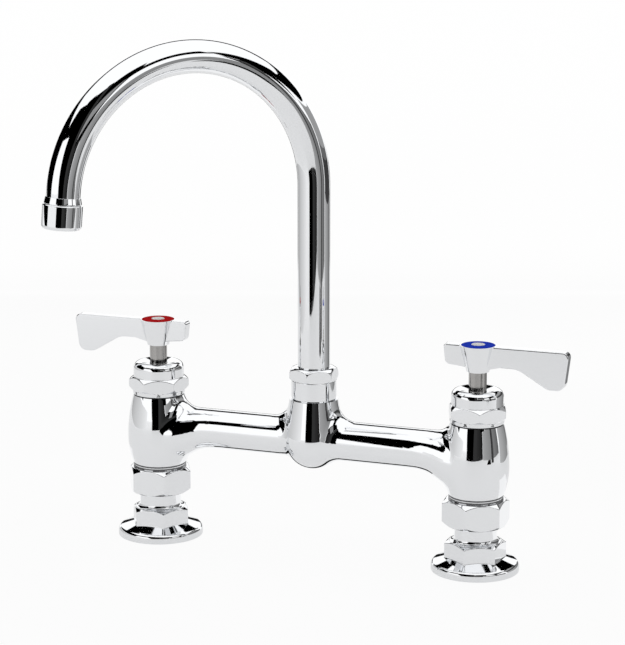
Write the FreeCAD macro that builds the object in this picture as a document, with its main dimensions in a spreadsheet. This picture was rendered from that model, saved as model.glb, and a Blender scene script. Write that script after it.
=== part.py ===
import FreeCAD, Part
import math
import os
import Sketcher

# Deck-mount bridge faucet with a swivelling gooseneck spout.
# Origin: midway between the two inlets, on the deck. +X from hot to cold, -Y towards the user, +Z up.
# All lengths are in millimetres and all angles in degrees.

doc = FreeCAD.newDocument("bridge_faucet")
sheet = doc.addObject("Spreadsheet::Sheet", "Sizes")

DRIVING_SIZES = [
    # fits that every piece shares
    ("thread_gap", 0.05),
    ("running_gap", 0.08),
    ("braze_gap", 0.02),
    ("axial_gap", 0.1),
    # shared details
    ("overcut", 2.0),
    ("hex_chamfer_depth", 0.35),
    ("hex_chamfer_angle", 40.0),
    ("base_chamfer_angle", 30.0),
    # deck flange
    ("inlet_centres", 203.2),
    ("flange_radius", 26.0),
    ("flange_rim_height", 3.2),
    ("flange_rim_round", 1.7),
    ("flange_crown_height", 8.4),
    ("base_hex_flats", 32.0),
    ("base_hex_height", 9.4),
    ("base_hex_core", 0.6),
    ("hot_base_hex_turn", 0.4),
    ("cold_base_hex_turn", 25.3),
    ("neck_radius", 12.6),
    ("neck_cove", 2.8),
    ("neck_length", 9.9),
    ("neck_collar_radius", 15.3),
    ("neck_collar_thickness", 3.2),
    ("inlet_thread_radius", 9.3),
    ("inlet_thread_depth", 16.0),
    ("waterway_radius", 7.0),
    # union between flange and valve body
    ("coupling_flats", 35.3),
    ("coupling_height", 15.7),
    ("coupling_lip", 3.5),
    ("coupling_lip_gap", 0.2),
    ("hot_coupling_turn", 1.3),
    ("cold_coupling_turn", 29.5),
    ("union_washer_thickness", 2.2),
    ("union_thread_radius", 15.9),
    ("union_thread_length", 9.9),
    # valve bodies, bridge pipe and tee, one casting
    ("barrel_height", 42.2),
    ("belly_height", 16.0),
    ("belly_radius", 19.2),
    ("barrel_upper_arc", 97.0),
    ("barrel_lower_arc", 47.0),
    ("bridge_height", 23.5),
    ("bridge_radius", 11.9),
    ("barrel_blend", 11.0),
    ("tee_blend", 11.8),
    ("tee_radius", 14.5),
    ("tee_height", 24.7),
    ("tee_flare_angle", 9.3),
    ("arm_straight_end", 60.0),
    ("arm_drop", 3.4),
    ("bridge_bore", 7.8),
    ("seat_height", 15.5),
    ("cavity_radius", 11.3),
    ("shoulder_height", 31.0),
    ("bonnet_thread_radius", 13.2),
    # bonnet
    ("gasket_thickness", 0.5),
    ("gasket_radius", 15.1),
    ("bonnet_collar_radius", 15.9),
    ("bonnet_collar_height", 2.1),
    ("bonnet_hex_flats", 31.75),
    ("bonnet_hex_height", 8.8),
    ("hot_bonnet_turn", 24.3),
    ("cold_bonnet_turn", 51.7),
    ("drum_radius", 15.3),
    ("drum_height", 9.2),
    ("drum_dish", 1.1),
    ("drum_round", 4.1),
    ("bonnet_cap_thickness", 5.0),
    ("bonnet_cavity_radius", 10.0),
    # ceramic cartridge
    ("cartridge_gap", 0.3),
    ("clamp_thickness", 3.0),
    ("seal_thickness", 2.2),
    ("seal_bore", 5.6),
    ("disc_radius", 9.0),
    ("disc_thickness", 3.2),
    ("disc_port_radius", 2.4),
    ("disc_port_offset", 5.2),
    ("disc_slot_width", 3.2),
    ("disc_slot_depth", 1.3),
    ("cartridge_neck_radius", 9.2),
    ("cartridge_neck_length", 15.5),
    ("cartridge_window_width", 8.0),
    ("cartridge_window_height", 4.2),
    # valve stem
    ("stem_foot_thickness", 3.0),
    ("stem_journal", 6.0),
    ("stem_radius", 5.27),
    ("stem_clearance", 10.4),
    ("stem_drive_flats", 6.35),
    ("stem_drive_length", 8.5),
    ("stem_shoulder", 1.0),
    ("stem_tongue_length", 12.6),
    ("stem_groove_depth", 1.4),
    ("stem_groove_width", 1.9),
    ("stem_groove_pitch", 6.0),
    ("stem_groove_height", 5.0),
    ("clip_thickness", 1.0),
    ("clip_radius", 7.6),
    ("clip_groove_depth", 0.9),
    ("clip_mouth", 5.0),
    # wrist-blade handle
    ("hub_height", 15.5),
    ("hub_bottom_radius", 6.6),
    ("hub_top_radius", 10.55),
    ("blade_root_offset", 3.3),
    ("blade_root_rise", 1.0),
    ("tail_slope", 1.5),
    ("blade_thickness", 6.6),
    ("blade_reach", 54.8),
    ("blade_foot", 52.0),
    ("blade_drop", 22.7),
    ("lobe_width", 9.6),
    ("lobe_slope", 18.0),
    ("waist_depth", 12.0),
    ("tail_reach", 20.2),
    ("tail_foot", 19.0),
    ("tail_depth", 11.8),
    ("blade_tip_round", 3.4),
    ("lobe_outer_round", 5.0),
    ("lobe_inner_round", 7.0),
    ("waist_round", 14.0),
    ("tail_round", 3.2),
    ("blade_edge_round", 0.7),
    ("blade_root_round", 0.8),
    ("index_recess_depth", 1.2),
    ("index_radius", 9.9),
    ("index_centre_radius", 4.0),
    ("index_stand", 0.35),
    ("index_crown", 0.25),
    ("index_dimple_radius", 1.3),
    ("screw_head_radius", 3.9),
    ("screw_head_height", 2.3),
    ("screw_head_gap", 0.3),
    ("screw_head_chamfer", 0.8),
    ("screw_socket_depth", 1.2),
    ("screw_socket_flats", 2.5),
    ("screw_radius", 1.95),
    ("screw_length", 12.5),
    ("screw_web", 2.3),
    # spout swivel
    ("socket_radius", 10.9),
    ("socket_depth", 22.1),
    ("socket_floor_gap", 0.8),
    ("spout_thread_radius", 12.3),
    ("spout_thread_length", 11.4),
    ("spout_nut_lift", 0.5),
    ("spout_nut_skirt_radius", 13.4),
    ("spout_nut_flats", 25.9),
    ("spout_nut_height", 18.9),
    ("spout_nut_round", 4.4),
    ("spout_nut_foot_rise", 2.24),
    ("spout_nut_foot_reach", 2.6),
    ("spout_nut_turn", 34.1),
    ("swivel_flange_radius", 11.85),
    ("swivel_flange_thickness", 1.5),
    ("swivel_washer_thickness", 1.3),
    ("spout_groove_depth", 0.75),
    ("spout_groove_width", 1.2),
    ("spout_groove_pitch", 6.0),
    ("spout_groove_height", 5.0),
    # gooseneck
    ("tube_radius", 9.525),
    ("tube_wall", 1.5),
    ("riser_height", 222.6),
    ("arch_radius", 79.0),
    ("arch_angle", 175.0),
    ("spout_heading", 229.7),
    ("tail_length", 11.3),
    # outlet
    ("ferrule_start", 1.8),
    ("ferrule_flare_length", 3.8),
    ("ferrule_top_radius", 9.85),
    ("ferrule_flare_radius", 10.5),
    ("ferrule_edge", 0.6),
    ("outlet_thread_radius", 10.15),
    ("outlet_thread_length", 6.0),
    ("aerator_seam", 0.3),
    ("aerator_radius", 11.25),
    ("aerator_length", 13.9),
    ("aerator_round", 2.2),
    ("aerator_chamfer", 0.5),
    ("aerator_lip", 1.9),
    ("aerator_mouth", 8.3),
    ("aerator_washer_thickness", 1.6),
    ("insert_bore", 7.4),
    ("insert_floor", 1.6),
    ("insert_hole", 0.82),
    ("insert_hole_circle", 5.18),
    ("screen_thickness", 0.5),
    ("screen_hole", 0.62),
    ("screen_pitch", 2.0),
]

for row, (alias, value) in enumerate(DRIVING_SIZES, start=1):
    sheet.set("A%d" % row, alias)
    sheet.set("B%d" % row, str(value))
    sheet.setAlias("B%d" % row, alias)
doc.recompute()


class Size:
    """A length or angle: its present value, and the sheet expression that gives it."""

    def __init__(self, value, text):
        self.value = value
        self.text = text

    def __add__(self, other):
        other = as_size(other)
        return Size(self.value + other.value, "(%s + %s)" % (self.text, other.text))

    def __sub__(self, other):
        other = as_size(other)
        return Size(self.value - other.value, "(%s - %s)" % (self.text, other.text))

    def __mul__(self, other):
        other = as_size(other)
        return Size(self.value * other.value, "(%s * %s)" % (self.text, other.text))

    def __truediv__(self, other):
        other = as_size(other)
        return Size(self.value / other.value, "(%s / %s)" % (self.text, other.text))

    def __neg__(self):
        return Size(-self.value, "(0 - %s)" % self.text)

    def __rmul__(self, other):
        return as_size(other) * self

    def __radd__(self, other):
        return as_size(other) + self

    def __rsub__(self, other):
        return as_size(other) - self


def as_size(number):
    return number if isinstance(number, Size) else Size(float(number), repr(float(number)))


def root(size):
    return Size(math.sqrt(size.value), "sqrt(%s)" % size.text)


def cosine_of(angle):
    return Size(math.cos(math.radians(angle.value)), "cos(%s)" % angle.text)


def sine_of(angle):
    return Size(math.sin(math.radians(angle.value)), "sin(%s)" % angle.text)


def tangent_of(angle):
    return Size(math.tan(math.radians(angle.value)), "tan(%s)" % angle.text)


class Sizes:
    """Gives each driving size by its name in the sheet."""

    def __getattr__(self, alias):
        return Size(float(getattr(sheet, alias)), "Sizes." + alias)


S = Sizes()
ZERO = as_size(0)

# Heights up the valve column, from the deck
base_top = S.flange_crown_height + S.base_hex_height
coupling_bottom = base_top + S.neck_length
collar_bottom = coupling_bottom + S.coupling_lip
collar_top = collar_bottom + S.neck_collar_thickness
union_top = collar_top + S.union_washer_thickness
coupling_top = coupling_bottom + S.coupling_height
barrel_bottom = union_top + S.union_thread_length
barrel_top = barrel_bottom + S.barrel_height
bridge_axis = barrel_bottom + S.bridge_height
seat = barrel_bottom + S.seat_height
clamp_bottom = barrel_bottom + S.shoulder_height
clamp_top = clamp_bottom + S.clamp_thickness
gasket_top = barrel_top + S.gasket_thickness
bonnet_hex_bottom = gasket_top + S.bonnet_collar_height
bonnet_hex_top = bonnet_hex_bottom + S.bonnet_hex_height
bonnet_top = bonnet_hex_top + S.drum_height
bonnet_cavity_top = bonnet_top - S.bonnet_cap_thickness

# Heights inside the cartridge
lower_disc_bottom = seat + S.seal_thickness
upper_disc_bottom = lower_disc_bottom + S.disc_thickness
stem_foot_bottom = upper_disc_bottom + S.disc_thickness
stem_foot_top = stem_foot_bottom + S.stem_foot_thickness
chamber_top = stem_foot_top + S.axial_gap
cartridge_top = clamp_top + S.cartridge_neck_length
clip_bottom = cartridge_top + S.axial_gap
clip_top = clip_bottom + S.clip_thickness
hub_bottom = bonnet_top + S.stem_clearance
hub_top = hub_bottom + S.hub_height
stem_top = hub_bottom + S.stem_drive_length
index_floor = hub_top - S.index_recess_depth
screw_seat = index_floor - S.screw_head_height - S.screw_head_gap
drive_socket_top = screw_seat - S.screw_web

# Heights up the spout swivel
tee_top = bridge_axis + S.tee_height
tee_ball_radius = S.tee_radius * cosine_of(S.tee_flare_angle) + S.tee_height * sine_of(S.tee_flare_angle)
swivel_face = tee_top + S.spout_thread_length
socket_bottom = swivel_face - S.socket_depth
ferrule_bottom = socket_bottom + S.socket_floor_gap
swivel_flange_bottom = swivel_face + S.axial_gap
swivel_flange_top = swivel_flange_bottom + S.swivel_flange_thickness
swivel_washer_bottom = swivel_flange_top + S.axial_gap
swivel_washer_top = swivel_washer_bottom + S.swivel_washer_thickness
spout_nut_bottom = tee_top + S.spout_nut_lift
spout_nut_top = spout_nut_bottom + S.spout_nut_height
spout_nut_shoulder = swivel_washer_top + S.thread_gap
stem_bore = S.stem_radius + S.running_gap
braze_bore = S.tube_radius + S.braze_gap

# Places along the outlet, from the end of the arch
aerator_start = S.ferrule_start + S.ferrule_flare_length + S.aerator_seam
aerator_end = aerator_start + S.aerator_length
outlet_thread_end = aerator_start + S.outlet_thread_length
aerator_floor = aerator_end - S.aerator_lip
insert_start = outlet_thread_end + S.aerator_washer_thickness
insert_end = aerator_floor - S.screen_thickness

INSERT_HOLES = 12
SCREEN_RINGS = 3
SCREEN_HOLES_PER_RING = 6
SIDES = {
    "hot": Size(-1.0, "(0 - 1)"),
    "cold": Size(1.0, "1"),
}


def new_body(label, side=None):
    """A body, carried out to its inlet if it belongs to the hot or the cold valve."""
    body = doc.addObject("PartDesign::Body", label)
    body.Label = label
    if side:
        body.setExpression("Placement.Base.x", (SIDES[side] * S.inlet_centres / 2).text)
    return body


def new_sketch(body, name, plane, height=None, turn=None, across=None):
    """A sketch on one of the body's own origin planes, lifted, turned or moved sideways."""
    sketch = body.newObject("Sketcher::SketchObject", name)
    support = next(f for f in body.Origin.OriginFeatures if f.Role == plane)
    sketch.AttachmentSupport = (support, [""])
    sketch.MapMode = "FlatFace"
    if height is not None:
        sketch.setExpression("AttachmentOffset.Base.z", height.text)
    if across is not None:
        sketch.setExpression("AttachmentOffset.Base.x", across.text)
    if turn is not None:
        sketch.setExpression("AttachmentOffset.Rotation.Angle", turn.text)
    return sketch


def pin_coordinate(sketch, kind, geometry, point, size):
    """Fix one coordinate of a sketch point, on the right side of the origin."""
    axis = -2 if kind == "DistanceX" else -1
    if abs(size.value) < 1e-9:
        sketch.addConstraint(Sketcher.Constraint("PointOnObject", geometry, point, axis))
        return
    if size.value > 0:
        datum, text = size.value, size.text
        constraint = Sketcher.Constraint(kind, -1, 1, geometry, point, datum)
    else:
        datum, text = -size.value, (-size).text
        constraint = Sketcher.Constraint(kind, geometry, point, -1, 1, datum)
    index = sketch.addConstraint(constraint)
    sketch.setExpression("Constraints[%d]" % index, text)


def pin_point(sketch, geometry, point, x, y):
    pin_coordinate(sketch, "DistanceX", geometry, point, x)
    pin_coordinate(sketch, "DistanceY", geometry, point, y)


def arc_between(start, end, radius, side):
    """The short arc of this radius from start to end, bulging to the left (+1) or the right (-1)."""
    if side > 0:
        return arc_between(end, start, radius, -side)
    ax, ay, bx, by = start[0].value, start[1].value, end[0].value, end[1].value
    half = math.hypot(bx - ax, by - ay) / 2
    rise = math.sqrt(max(radius.value ** 2 - half ** 2, 0))
    right = ((by - ay) / (2 * half), -(bx - ax) / (2 * half))
    centre = ((ax + bx) / 2 - right[0] * rise, (ay + by) / 2 - right[1] * rise)
    crown = FreeCAD.Vector(centre[0] + right[0] * radius.value, centre[1] + right[1] * radius.value, 0)
    return Part.Arc(FreeCAD.Vector(ax, ay, 0), crown, FreeCAD.Vector(bx, by, 0))


def draw_outline(sketch, corners):
    """A closed outline. A corner is (x, y), or (x, y, radius, side) if an arc leads on from it."""
    corners = [tuple(as_size(item) for item in corner) for corner in corners]
    count = len(corners)
    edges = []
    for i, corner in enumerate(corners):
        following = corners[(i + 1) % count]
        if len(corner) == 4:
            side = corner[3].value
            edge = sketch.addGeometry(arc_between(corner, following, corner[2], side), False)
            edges.append((edge, 2, 1) if side > 0 else (edge, 1, 2))
        else:
            edge = sketch.addGeometry(Part.LineSegment(
                FreeCAD.Vector(corner[0].value, corner[1].value, 0),
                FreeCAD.Vector(following[0].value, following[1].value, 0)), False)
            edges.append((edge, 1, 2))
    for i, corner in enumerate(corners):
        edge, first, last = edges[i]
        following, following_first, following_last = edges[(i + 1) % count]
        sketch.addConstraint(Sketcher.Constraint("Coincident", edge, last, following, following_first))
        pin_point(sketch, edge, first, corner[0], corner[1])
        if len(corner) == 4:
            index = sketch.addConstraint(Sketcher.Constraint("Radius", edge, corner[2].value))
            sketch.setExpression("Constraints[%d]" % index, corner[2].text)


def draw_circle(sketch, radius, x=ZERO, y=ZERO):
    centre = FreeCAD.Vector(x.value, y.value, 0)
    circle = sketch.addGeometry(Part.Circle(centre, FreeCAD.Vector(0, 0, 1), radius.value), False)
    pin_point(sketch, circle, 3, x, y)
    index = sketch.addConstraint(Sketcher.Constraint("Radius", circle, radius.value))
    sketch.setExpression("Constraints[%d]" % index, radius.text)


def box_corners(left, right, bottom, top):
    return [(left, bottom), (right, bottom), (right, top), (left, top)]


def revolve(body, name, corners, across=None):
    """Turn a closed (radius, height) outline about the upright axis and add it."""
    sketch = new_sketch(body, name + "_outline", "XZ_Plane", across=across)
    draw_outline(sketch, corners)
    feature = body.newObject("PartDesign::Revolution", name)
    feature.Profile = sketch
    feature.ReferenceAxis = (sketch, ["V_Axis"])
    feature.Angle = 360
    return feature


def groove(body, name, corners, across=None):
    """Turn a closed (radius, height) outline about the upright axis and cut it away."""
    sketch = new_sketch(body, name + "_outline", "XZ_Plane", across=across)
    draw_outline(sketch, corners)
    feature = body.newObject("PartDesign::Groove", name)
    feature.Profile = sketch
    feature.ReferenceAxis = (sketch, ["V_Axis"])
    feature.Angle = 360
    return feature


def pad_up(body, name, sketch, length):
    feature = body.newObject("PartDesign::Pad", name)
    feature.Profile = sketch
    feature.setExpression("Length", length.text)
    return feature


def cut_up(body, name, sketch, length):
    """Cut along the sketch's own normal."""
    feature = body.newObject("PartDesign::Pocket", name)
    feature.Profile = sketch
    feature.Reversed = True
    feature.setExpression("Length", length.text)
    return feature


def cut_both_ways(body, name, sketch, length):
    feature = body.newObject("PartDesign::Pocket", name)
    feature.Profile = sketch
    feature.Midplane = True
    feature.setExpression("Length", length.text)
    return feature


def hexagon_corners(flats):
    corner = flats / root(as_size(3))
    half = corner / 2
    flat = flats / 2
    return [(corner, ZERO), (half, flat), (-half, flat), (-corner, ZERO), (-half, -flat), (half, -flat)]


def add_hexagon(body, name, flats, bottom, top, turn):
    sketch = new_sketch(body, name + "_outline", "XY_Plane", height=bottom, turn=turn)
    draw_outline(sketch, hexagon_corners(flats))
    return pad_up(body, name, sketch, top - bottom)


def chamfer_hexagon(body, name, flats, face, inward, angle):
    """Turn the corners of a hexagon back at its top (-1) or bottom (+1) face."""
    start = flats / 2 - S.hex_chamfer_depth
    reach = flats / root(as_size(3)) + S.overcut
    fall = (reach - start) * tangent_of(angle) * inward
    outside = face - S.overcut * inward
    groove(body, name, [(start, face), (reach, face + fall), (reach, outside), (start, outside)])


def square_corners(flats):
    half = flats / 2
    return [(-half, -half), (half, -half), (half, half), (-half, half)]


def finish(body):
    """The last feature made is the piece's shape."""
    body.Tip = body.Group[-1]
    return body


def deck_flange(side):
    body = new_body(side + "_deck_flange", side)
    hex_turn = getattr(S, side + "_base_hex_turn")
    foot = S.base_hex_flats / 2 - S.base_hex_core
    cove = S.neck_radius + S.neck_cove
    rim_top = S.flange_rim_height + S.flange_rim_round
    revolve(body, "Turned", [
        (ZERO, ZERO),
        (S.flange_radius, ZERO),
        (S.flange_radius, S.flange_rim_height, S.flange_rim_round, -1),
        (S.flange_radius - S.flange_rim_round, rim_top),
        (foot, S.flange_crown_height),
        (foot, base_top),
        (cove, base_top, S.neck_cove, 1),
        (S.neck_radius, base_top + S.neck_cove),
        (S.neck_radius, collar_bottom),
        (S.neck_collar_radius, collar_bottom),
        (S.neck_collar_radius, collar_top),
        (ZERO, collar_top),
    ])
    add_hexagon(body, "Hexagon", S.base_hex_flats, S.flange_rim_height, base_top, hex_turn)
    chamfer_hexagon(body, "HexagonChamfer", S.base_hex_flats, base_top, -1, S.base_chamfer_angle)
    groove(body, "Waterway", [
        (ZERO, ZERO),
        (S.inlet_thread_radius, ZERO),
        (S.inlet_thread_radius, S.inlet_thread_depth),
        (S.waterway_radius, S.inlet_thread_depth),
        (S.waterway_radius, collar_top),
        (ZERO, collar_top),
    ])
    return finish(body)


def coupling_nut(side):
    body = new_body(side + "_coupling_nut", side)
    turn = getattr(S, side + "_coupling_turn")
    add_hexagon(body, "Hexagon", S.coupling_flats, coupling_bottom, coupling_top, turn)
    chamfer_hexagon(body, "TopChamfer", S.coupling_flats, coupling_top, -1, S.hex_chamfer_angle)
    chamfer_hexagon(body, "BottomChamfer", S.coupling_flats, coupling_bottom, 1, S.hex_chamfer_angle)
    thread = S.union_thread_radius + S.thread_gap
    lip = S.neck_radius + S.coupling_lip_gap
    groove(body, "Bore", [
        (ZERO, coupling_bottom),
        (lip, coupling_bottom),
        (lip, collar_bottom),
        (thread, collar_bottom),
        (thread, coupling_top),
        (ZERO, coupling_top),
    ])
    return finish(body)


def washer(label, side, inner, outer, bottom, top):
    body = new_body(label, side)
    revolve(body, "Ring", box_corners(inner, outer, bottom, top))
    return finish(body)


def barrel_radius_at(height, arc):
    """The barrel's outer radius at a height on its upper or lower arc."""
    rise = height - (barrel_bottom + S.belly_height)
    return S.belly_radius - arc + root(arc * arc - rise * rise)


def round_inner_edges(body, name, feature, radius, is_wanted):
    """Fillet the edges of a feature whose middles pass a test."""
    doc.recompute()
    names = []
    for index, edge in enumerate(feature.Shape.Edges, start=1):
        first, last = edge.ParameterRange
        if is_wanted(edge.valueAt((first + last) / 2), edge):
            names.append("Edge%d" % index)
    fillet = body.newObject("PartDesign::Fillet", name)
    fillet.Base = (feature, names)
    fillet.setExpression("Radius", radius.text)
    return fillet


# From the end of an arm's straight part (0) to the middle of the barrel (1): the share of its full drop
ARM_STATIONS = [(0.0, 0.0), (0.13, 0.05), (0.25, 0.25), (0.36, 0.72), (0.46, 1.4), (0.56, 2.1), (1.0, 2.6)]


def add_arm(body, side):
    """The pipe from the tee to the middle of a barrel: straight, then dropping underneath to meet it."""
    outward = SIDES[side]
    name = side.capitalize() + "Arm"
    outline = new_sketch(body, name + "Outline", "YZ_Plane")
    draw_circle(outline, S.bridge_radius, ZERO, bridge_axis)
    arm = pad_up(body, name, outline, S.arm_straight_end)
    arm.Reversed = outward.value < 0
    length = S.inlet_centres / 2 - S.arm_straight_end
    circles = []
    for number, (place, share) in enumerate(ARM_STATIONS):
        station = (S.arm_straight_end + length * place) * outward
        sketch = new_sketch(body, name + "Circle%d" % number, "YZ_Plane", height=station)
        drop = S.arm_drop / 2 * share
        draw_circle(sketch, S.bridge_radius + drop, ZERO, bridge_axis - drop)
        circles.append(sketch)
    root_loft = body.newObject("PartDesign::AdditiveLoft", name + "Root")
    root_loft.Profile = circles[0]
    root_loft.Sections = circles[1:]
    return root_loft


def add_tee(body):
    """The spout's foot: a ball around the middle of the pipe with a cone on top that narrows upwards."""
    return revolve(body, "Tee", [
        (ZERO, bridge_axis - tee_ball_radius, tee_ball_radius, -1),
        (tee_ball_radius * cosine_of(S.tee_flare_angle),
         bridge_axis + tee_ball_radius * sine_of(S.tee_flare_angle)),
        (S.tee_radius, tee_top),
        (ZERO, tee_top),
    ])


def add_barrel(body, side):
    """A valve barrel, drawn taller than it is so that the blend into the pipe runs off its ends."""
    outward = SIDES[side]
    spare = S.bridge_radius + S.barrel_blend + S.overcut
    high = bridge_axis + spare
    low = bridge_axis - spare
    belly = barrel_bottom + S.belly_height
    bulge = -outward.value
    return revolve(body, side.capitalize() + "Barrel", [
        (ZERO, low),
        (outward * barrel_radius_at(low, S.barrel_lower_arc), low, S.barrel_lower_arc, bulge),
        (outward * S.belly_radius, belly, S.barrel_upper_arc, bulge),
        (outward * barrel_radius_at(high, S.barrel_upper_arc), high),
        (ZERO, high),
    ], across=outward * S.inlet_centres / 2)


def trim_barrel(body, side):
    """Cut the barrel off flat at its real top and bottom."""
    spare = S.bridge_radius + S.barrel_blend + S.overcut * 2
    outer = S.belly_radius + S.overcut
    across = SIDES[side] * S.inlet_centres / 2
    title = side.capitalize()
    groove(body, title + "TopTrim", box_corners(ZERO, outer, barrel_top, bridge_axis + spare), across)
    groove(body, title + "BottomTrim", box_corners(ZERO, outer, bridge_axis - spare, barrel_bottom), across)


def bore_barrel(body, side):
    across = SIDES[side] * S.inlet_centres / 2
    title = side.capitalize()
    revolve(body, title + "UnionThread", box_corners(
        ZERO, S.union_thread_radius, union_top, barrel_bottom + S.overcut), across)
    groove(body, title + "Cavity", [
        (ZERO, union_top),
        (S.waterway_radius, union_top),
        (S.waterway_radius, seat),
        (S.cavity_radius, seat),
        (S.cavity_radius, clamp_bottom),
        (S.bonnet_thread_radius, clamp_bottom),
        (S.bonnet_thread_radius, barrel_top),
        (ZERO, barrel_top),
    ], across)


def bridge_body():
    """One casting: hot barrel, pipe, tee and cold barrel, blended into each other."""
    body = new_body("bridge_body")
    for side in SIDES:
        add_arm(body, side)
    for side in SIDES:
        barrel = add_barrel(body, side)
    half = S.inlet_centres.value / 2

    belly = (barrel_bottom + S.belly_height).value

    def at_barrel(point, edge):
        """Where an arm meets a barrel: on the barrel's surface, and all on the side of the arm."""
        first, last = edge.ParameterRange
        for share in (0.05, 0.35, 0.65, 0.95):
            place = edge.valueAt(first + (last - first) * share)
            arc = S.barrel_upper_arc if place.z > belly else S.barrel_lower_arc
            radius = barrel_radius_at(as_size(place.z), arc).value
            if abs(math.hypot(abs(place.x) - half, place.y) - radius) > 0.02 or abs(place.x) > half:
                return False
        return True

    round_inner_edges(body, "BarrelBlend", barrel, S.barrel_blend, at_barrel)
    tee = add_tee(body)

    def at_tee(point, edge):
        """Where an arm enters the tee: on the pipe's surface, near its middle and longer than a seam's end."""
        from_axis = math.hypot(point.y, point.z - bridge_axis.value)
        on_pipe = abs(from_axis - S.bridge_radius.value) < 0.05
        return on_pipe and abs(point.x) < tee_ball_radius.value and edge.Length > S.overcut.value

    round_inner_edges(body, "TeeBlend", tee, S.tee_blend, at_tee)
    for side in SIDES:
        trim_barrel(body, side)
    for side in SIDES:
        bore_barrel(body, side)
    revolve(body, "SpoutThread", box_corners(ZERO, S.spout_thread_radius, tee_top - S.overcut, swivel_face))
    groove(body, "SpoutSocket", [
        (ZERO, bridge_axis),
        (S.waterway_radius, bridge_axis),
        (S.waterway_radius, socket_bottom),
        (S.socket_radius, socket_bottom),
        (S.socket_radius, swivel_face),
        (ZERO, swivel_face),
    ])
    bore_outline = new_sketch(body, "BridgeBoreOutline", "YZ_Plane")
    draw_circle(bore_outline, S.bridge_bore, ZERO, bridge_axis)
    cut_both_ways(body, "BridgeBore", bore_outline, S.inlet_centres)
    return finish(body)


def bonnet(side):
    body = new_body(side + "_bonnet", side)
    turn = getattr(S, side + "_bonnet_turn")
    drum_side_top = bonnet_top - S.drum_round
    bonnet_hex_middle = (bonnet_hex_bottom + bonnet_hex_top) / 2
    thread = S.bonnet_thread_radius - S.thread_gap
    revolve(body, "Turned", [
        (ZERO, clamp_top),
        (thread, clamp_top),
        (thread, gasket_top),
        (S.bonnet_collar_radius, gasket_top),
        (S.bonnet_collar_radius, bonnet_hex_middle),
        (S.drum_radius, bonnet_hex_middle),
        (S.drum_radius, drum_side_top, S.drum_round, -1),
        (S.drum_radius - S.drum_round, bonnet_top),
        (stem_bore, bonnet_top - S.drum_dish),
        (ZERO, bonnet_top - S.drum_dish),
    ])
    add_hexagon(body, "Hexagon", S.bonnet_hex_flats, bonnet_hex_bottom, bonnet_hex_top, turn)
    chamfer_hexagon(body, "TopChamfer", S.bonnet_hex_flats, bonnet_hex_top, -1, S.hex_chamfer_angle)
    chamfer_hexagon(body, "BottomChamfer", S.bonnet_hex_flats, bonnet_hex_bottom, 1, S.hex_chamfer_angle)
    groove(body, "Bore", [
        (ZERO, clamp_top),
        (S.bonnet_cavity_radius, clamp_top),
        (S.bonnet_cavity_radius, bonnet_cavity_top),
        (stem_bore, bonnet_cavity_top),
        (stem_bore, bonnet_top),
        (ZERO, bonnet_top),
    ])
    return finish(body)


def cartridge_body(side):
    """The brass sleeve that holds both discs and carries the stem."""
    body = new_body(side + "_cartridge_body", side)
    sleeve = S.cavity_radius - S.cartridge_gap
    clamp = S.bonnet_thread_radius - S.cartridge_gap
    chamber = S.disc_radius + S.running_gap
    revolve(body, "Turned", [
        (ZERO, seat),
        (sleeve, seat),
        (sleeve, clamp_bottom),
        (clamp, clamp_bottom),
        (clamp, clamp_top),
        (S.cartridge_neck_radius, clamp_top),
        (S.cartridge_neck_radius, cartridge_top),
        (ZERO, cartridge_top),
    ])
    groove(body, "Bore", [
        (ZERO, seat),
        (chamber, seat),
        (chamber, chamber_top),
        (S.stem_journal + S.running_gap, chamber_top),
        (S.stem_journal + S.running_gap, cartridge_top),
        (ZERO, cartridge_top),
    ])
    window = new_sketch(body, "WindowOutline", "YZ_Plane")
    half = S.cartridge_window_width / 2
    draw_outline(window, box_corners(-half, half, upper_disc_bottom,
                                     upper_disc_bottom + S.cartridge_window_height))
    cut_both_ways(body, "Windows", window, (sleeve + S.overcut) * 2)
    return finish(body)


def lower_disc(side):
    """The fixed ceramic disc, with one port each side of its middle."""
    body = new_body(side + "_lower_disc", side)
    revolve(body, "Disc", box_corners(ZERO, S.disc_radius, lower_disc_bottom, upper_disc_bottom))
    ports = new_sketch(body, "Ports", "XY_Plane", height=lower_disc_bottom)
    for place in (-1, 1):
        draw_circle(ports, S.disc_port_radius, S.disc_port_offset * place, ZERO)
    cut_up(body, "PortHoles", ports, S.disc_thickness)
    return finish(body)


def upper_disc(side):
    """The turning ceramic disc: ports a quarter turn round when shut, and a slot for the stem."""
    body = new_body(side + "_upper_disc", side)
    revolve(body, "Disc", box_corners(ZERO, S.disc_radius, upper_disc_bottom, stem_foot_bottom))
    ports = new_sketch(body, "Ports", "XY_Plane", height=upper_disc_bottom)
    for place in (-1, 1):
        draw_circle(ports, S.disc_port_radius, ZERO, S.disc_port_offset * place)
    cut_up(body, "PortHoles", ports, S.disc_thickness)
    slot = new_sketch(body, "SlotOutline", "XZ_Plane")
    half = S.disc_slot_width / 2
    draw_outline(slot, box_corners(-half, half, stem_foot_bottom - S.disc_slot_depth, stem_foot_bottom))
    cut_both_ways(body, "Slot", slot, (S.disc_radius + S.overcut) * 2)
    return finish(body)


def stem_groove_bottoms():
    first = chamber_top + S.stem_groove_height
    return [first, first + S.stem_groove_pitch]


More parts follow.
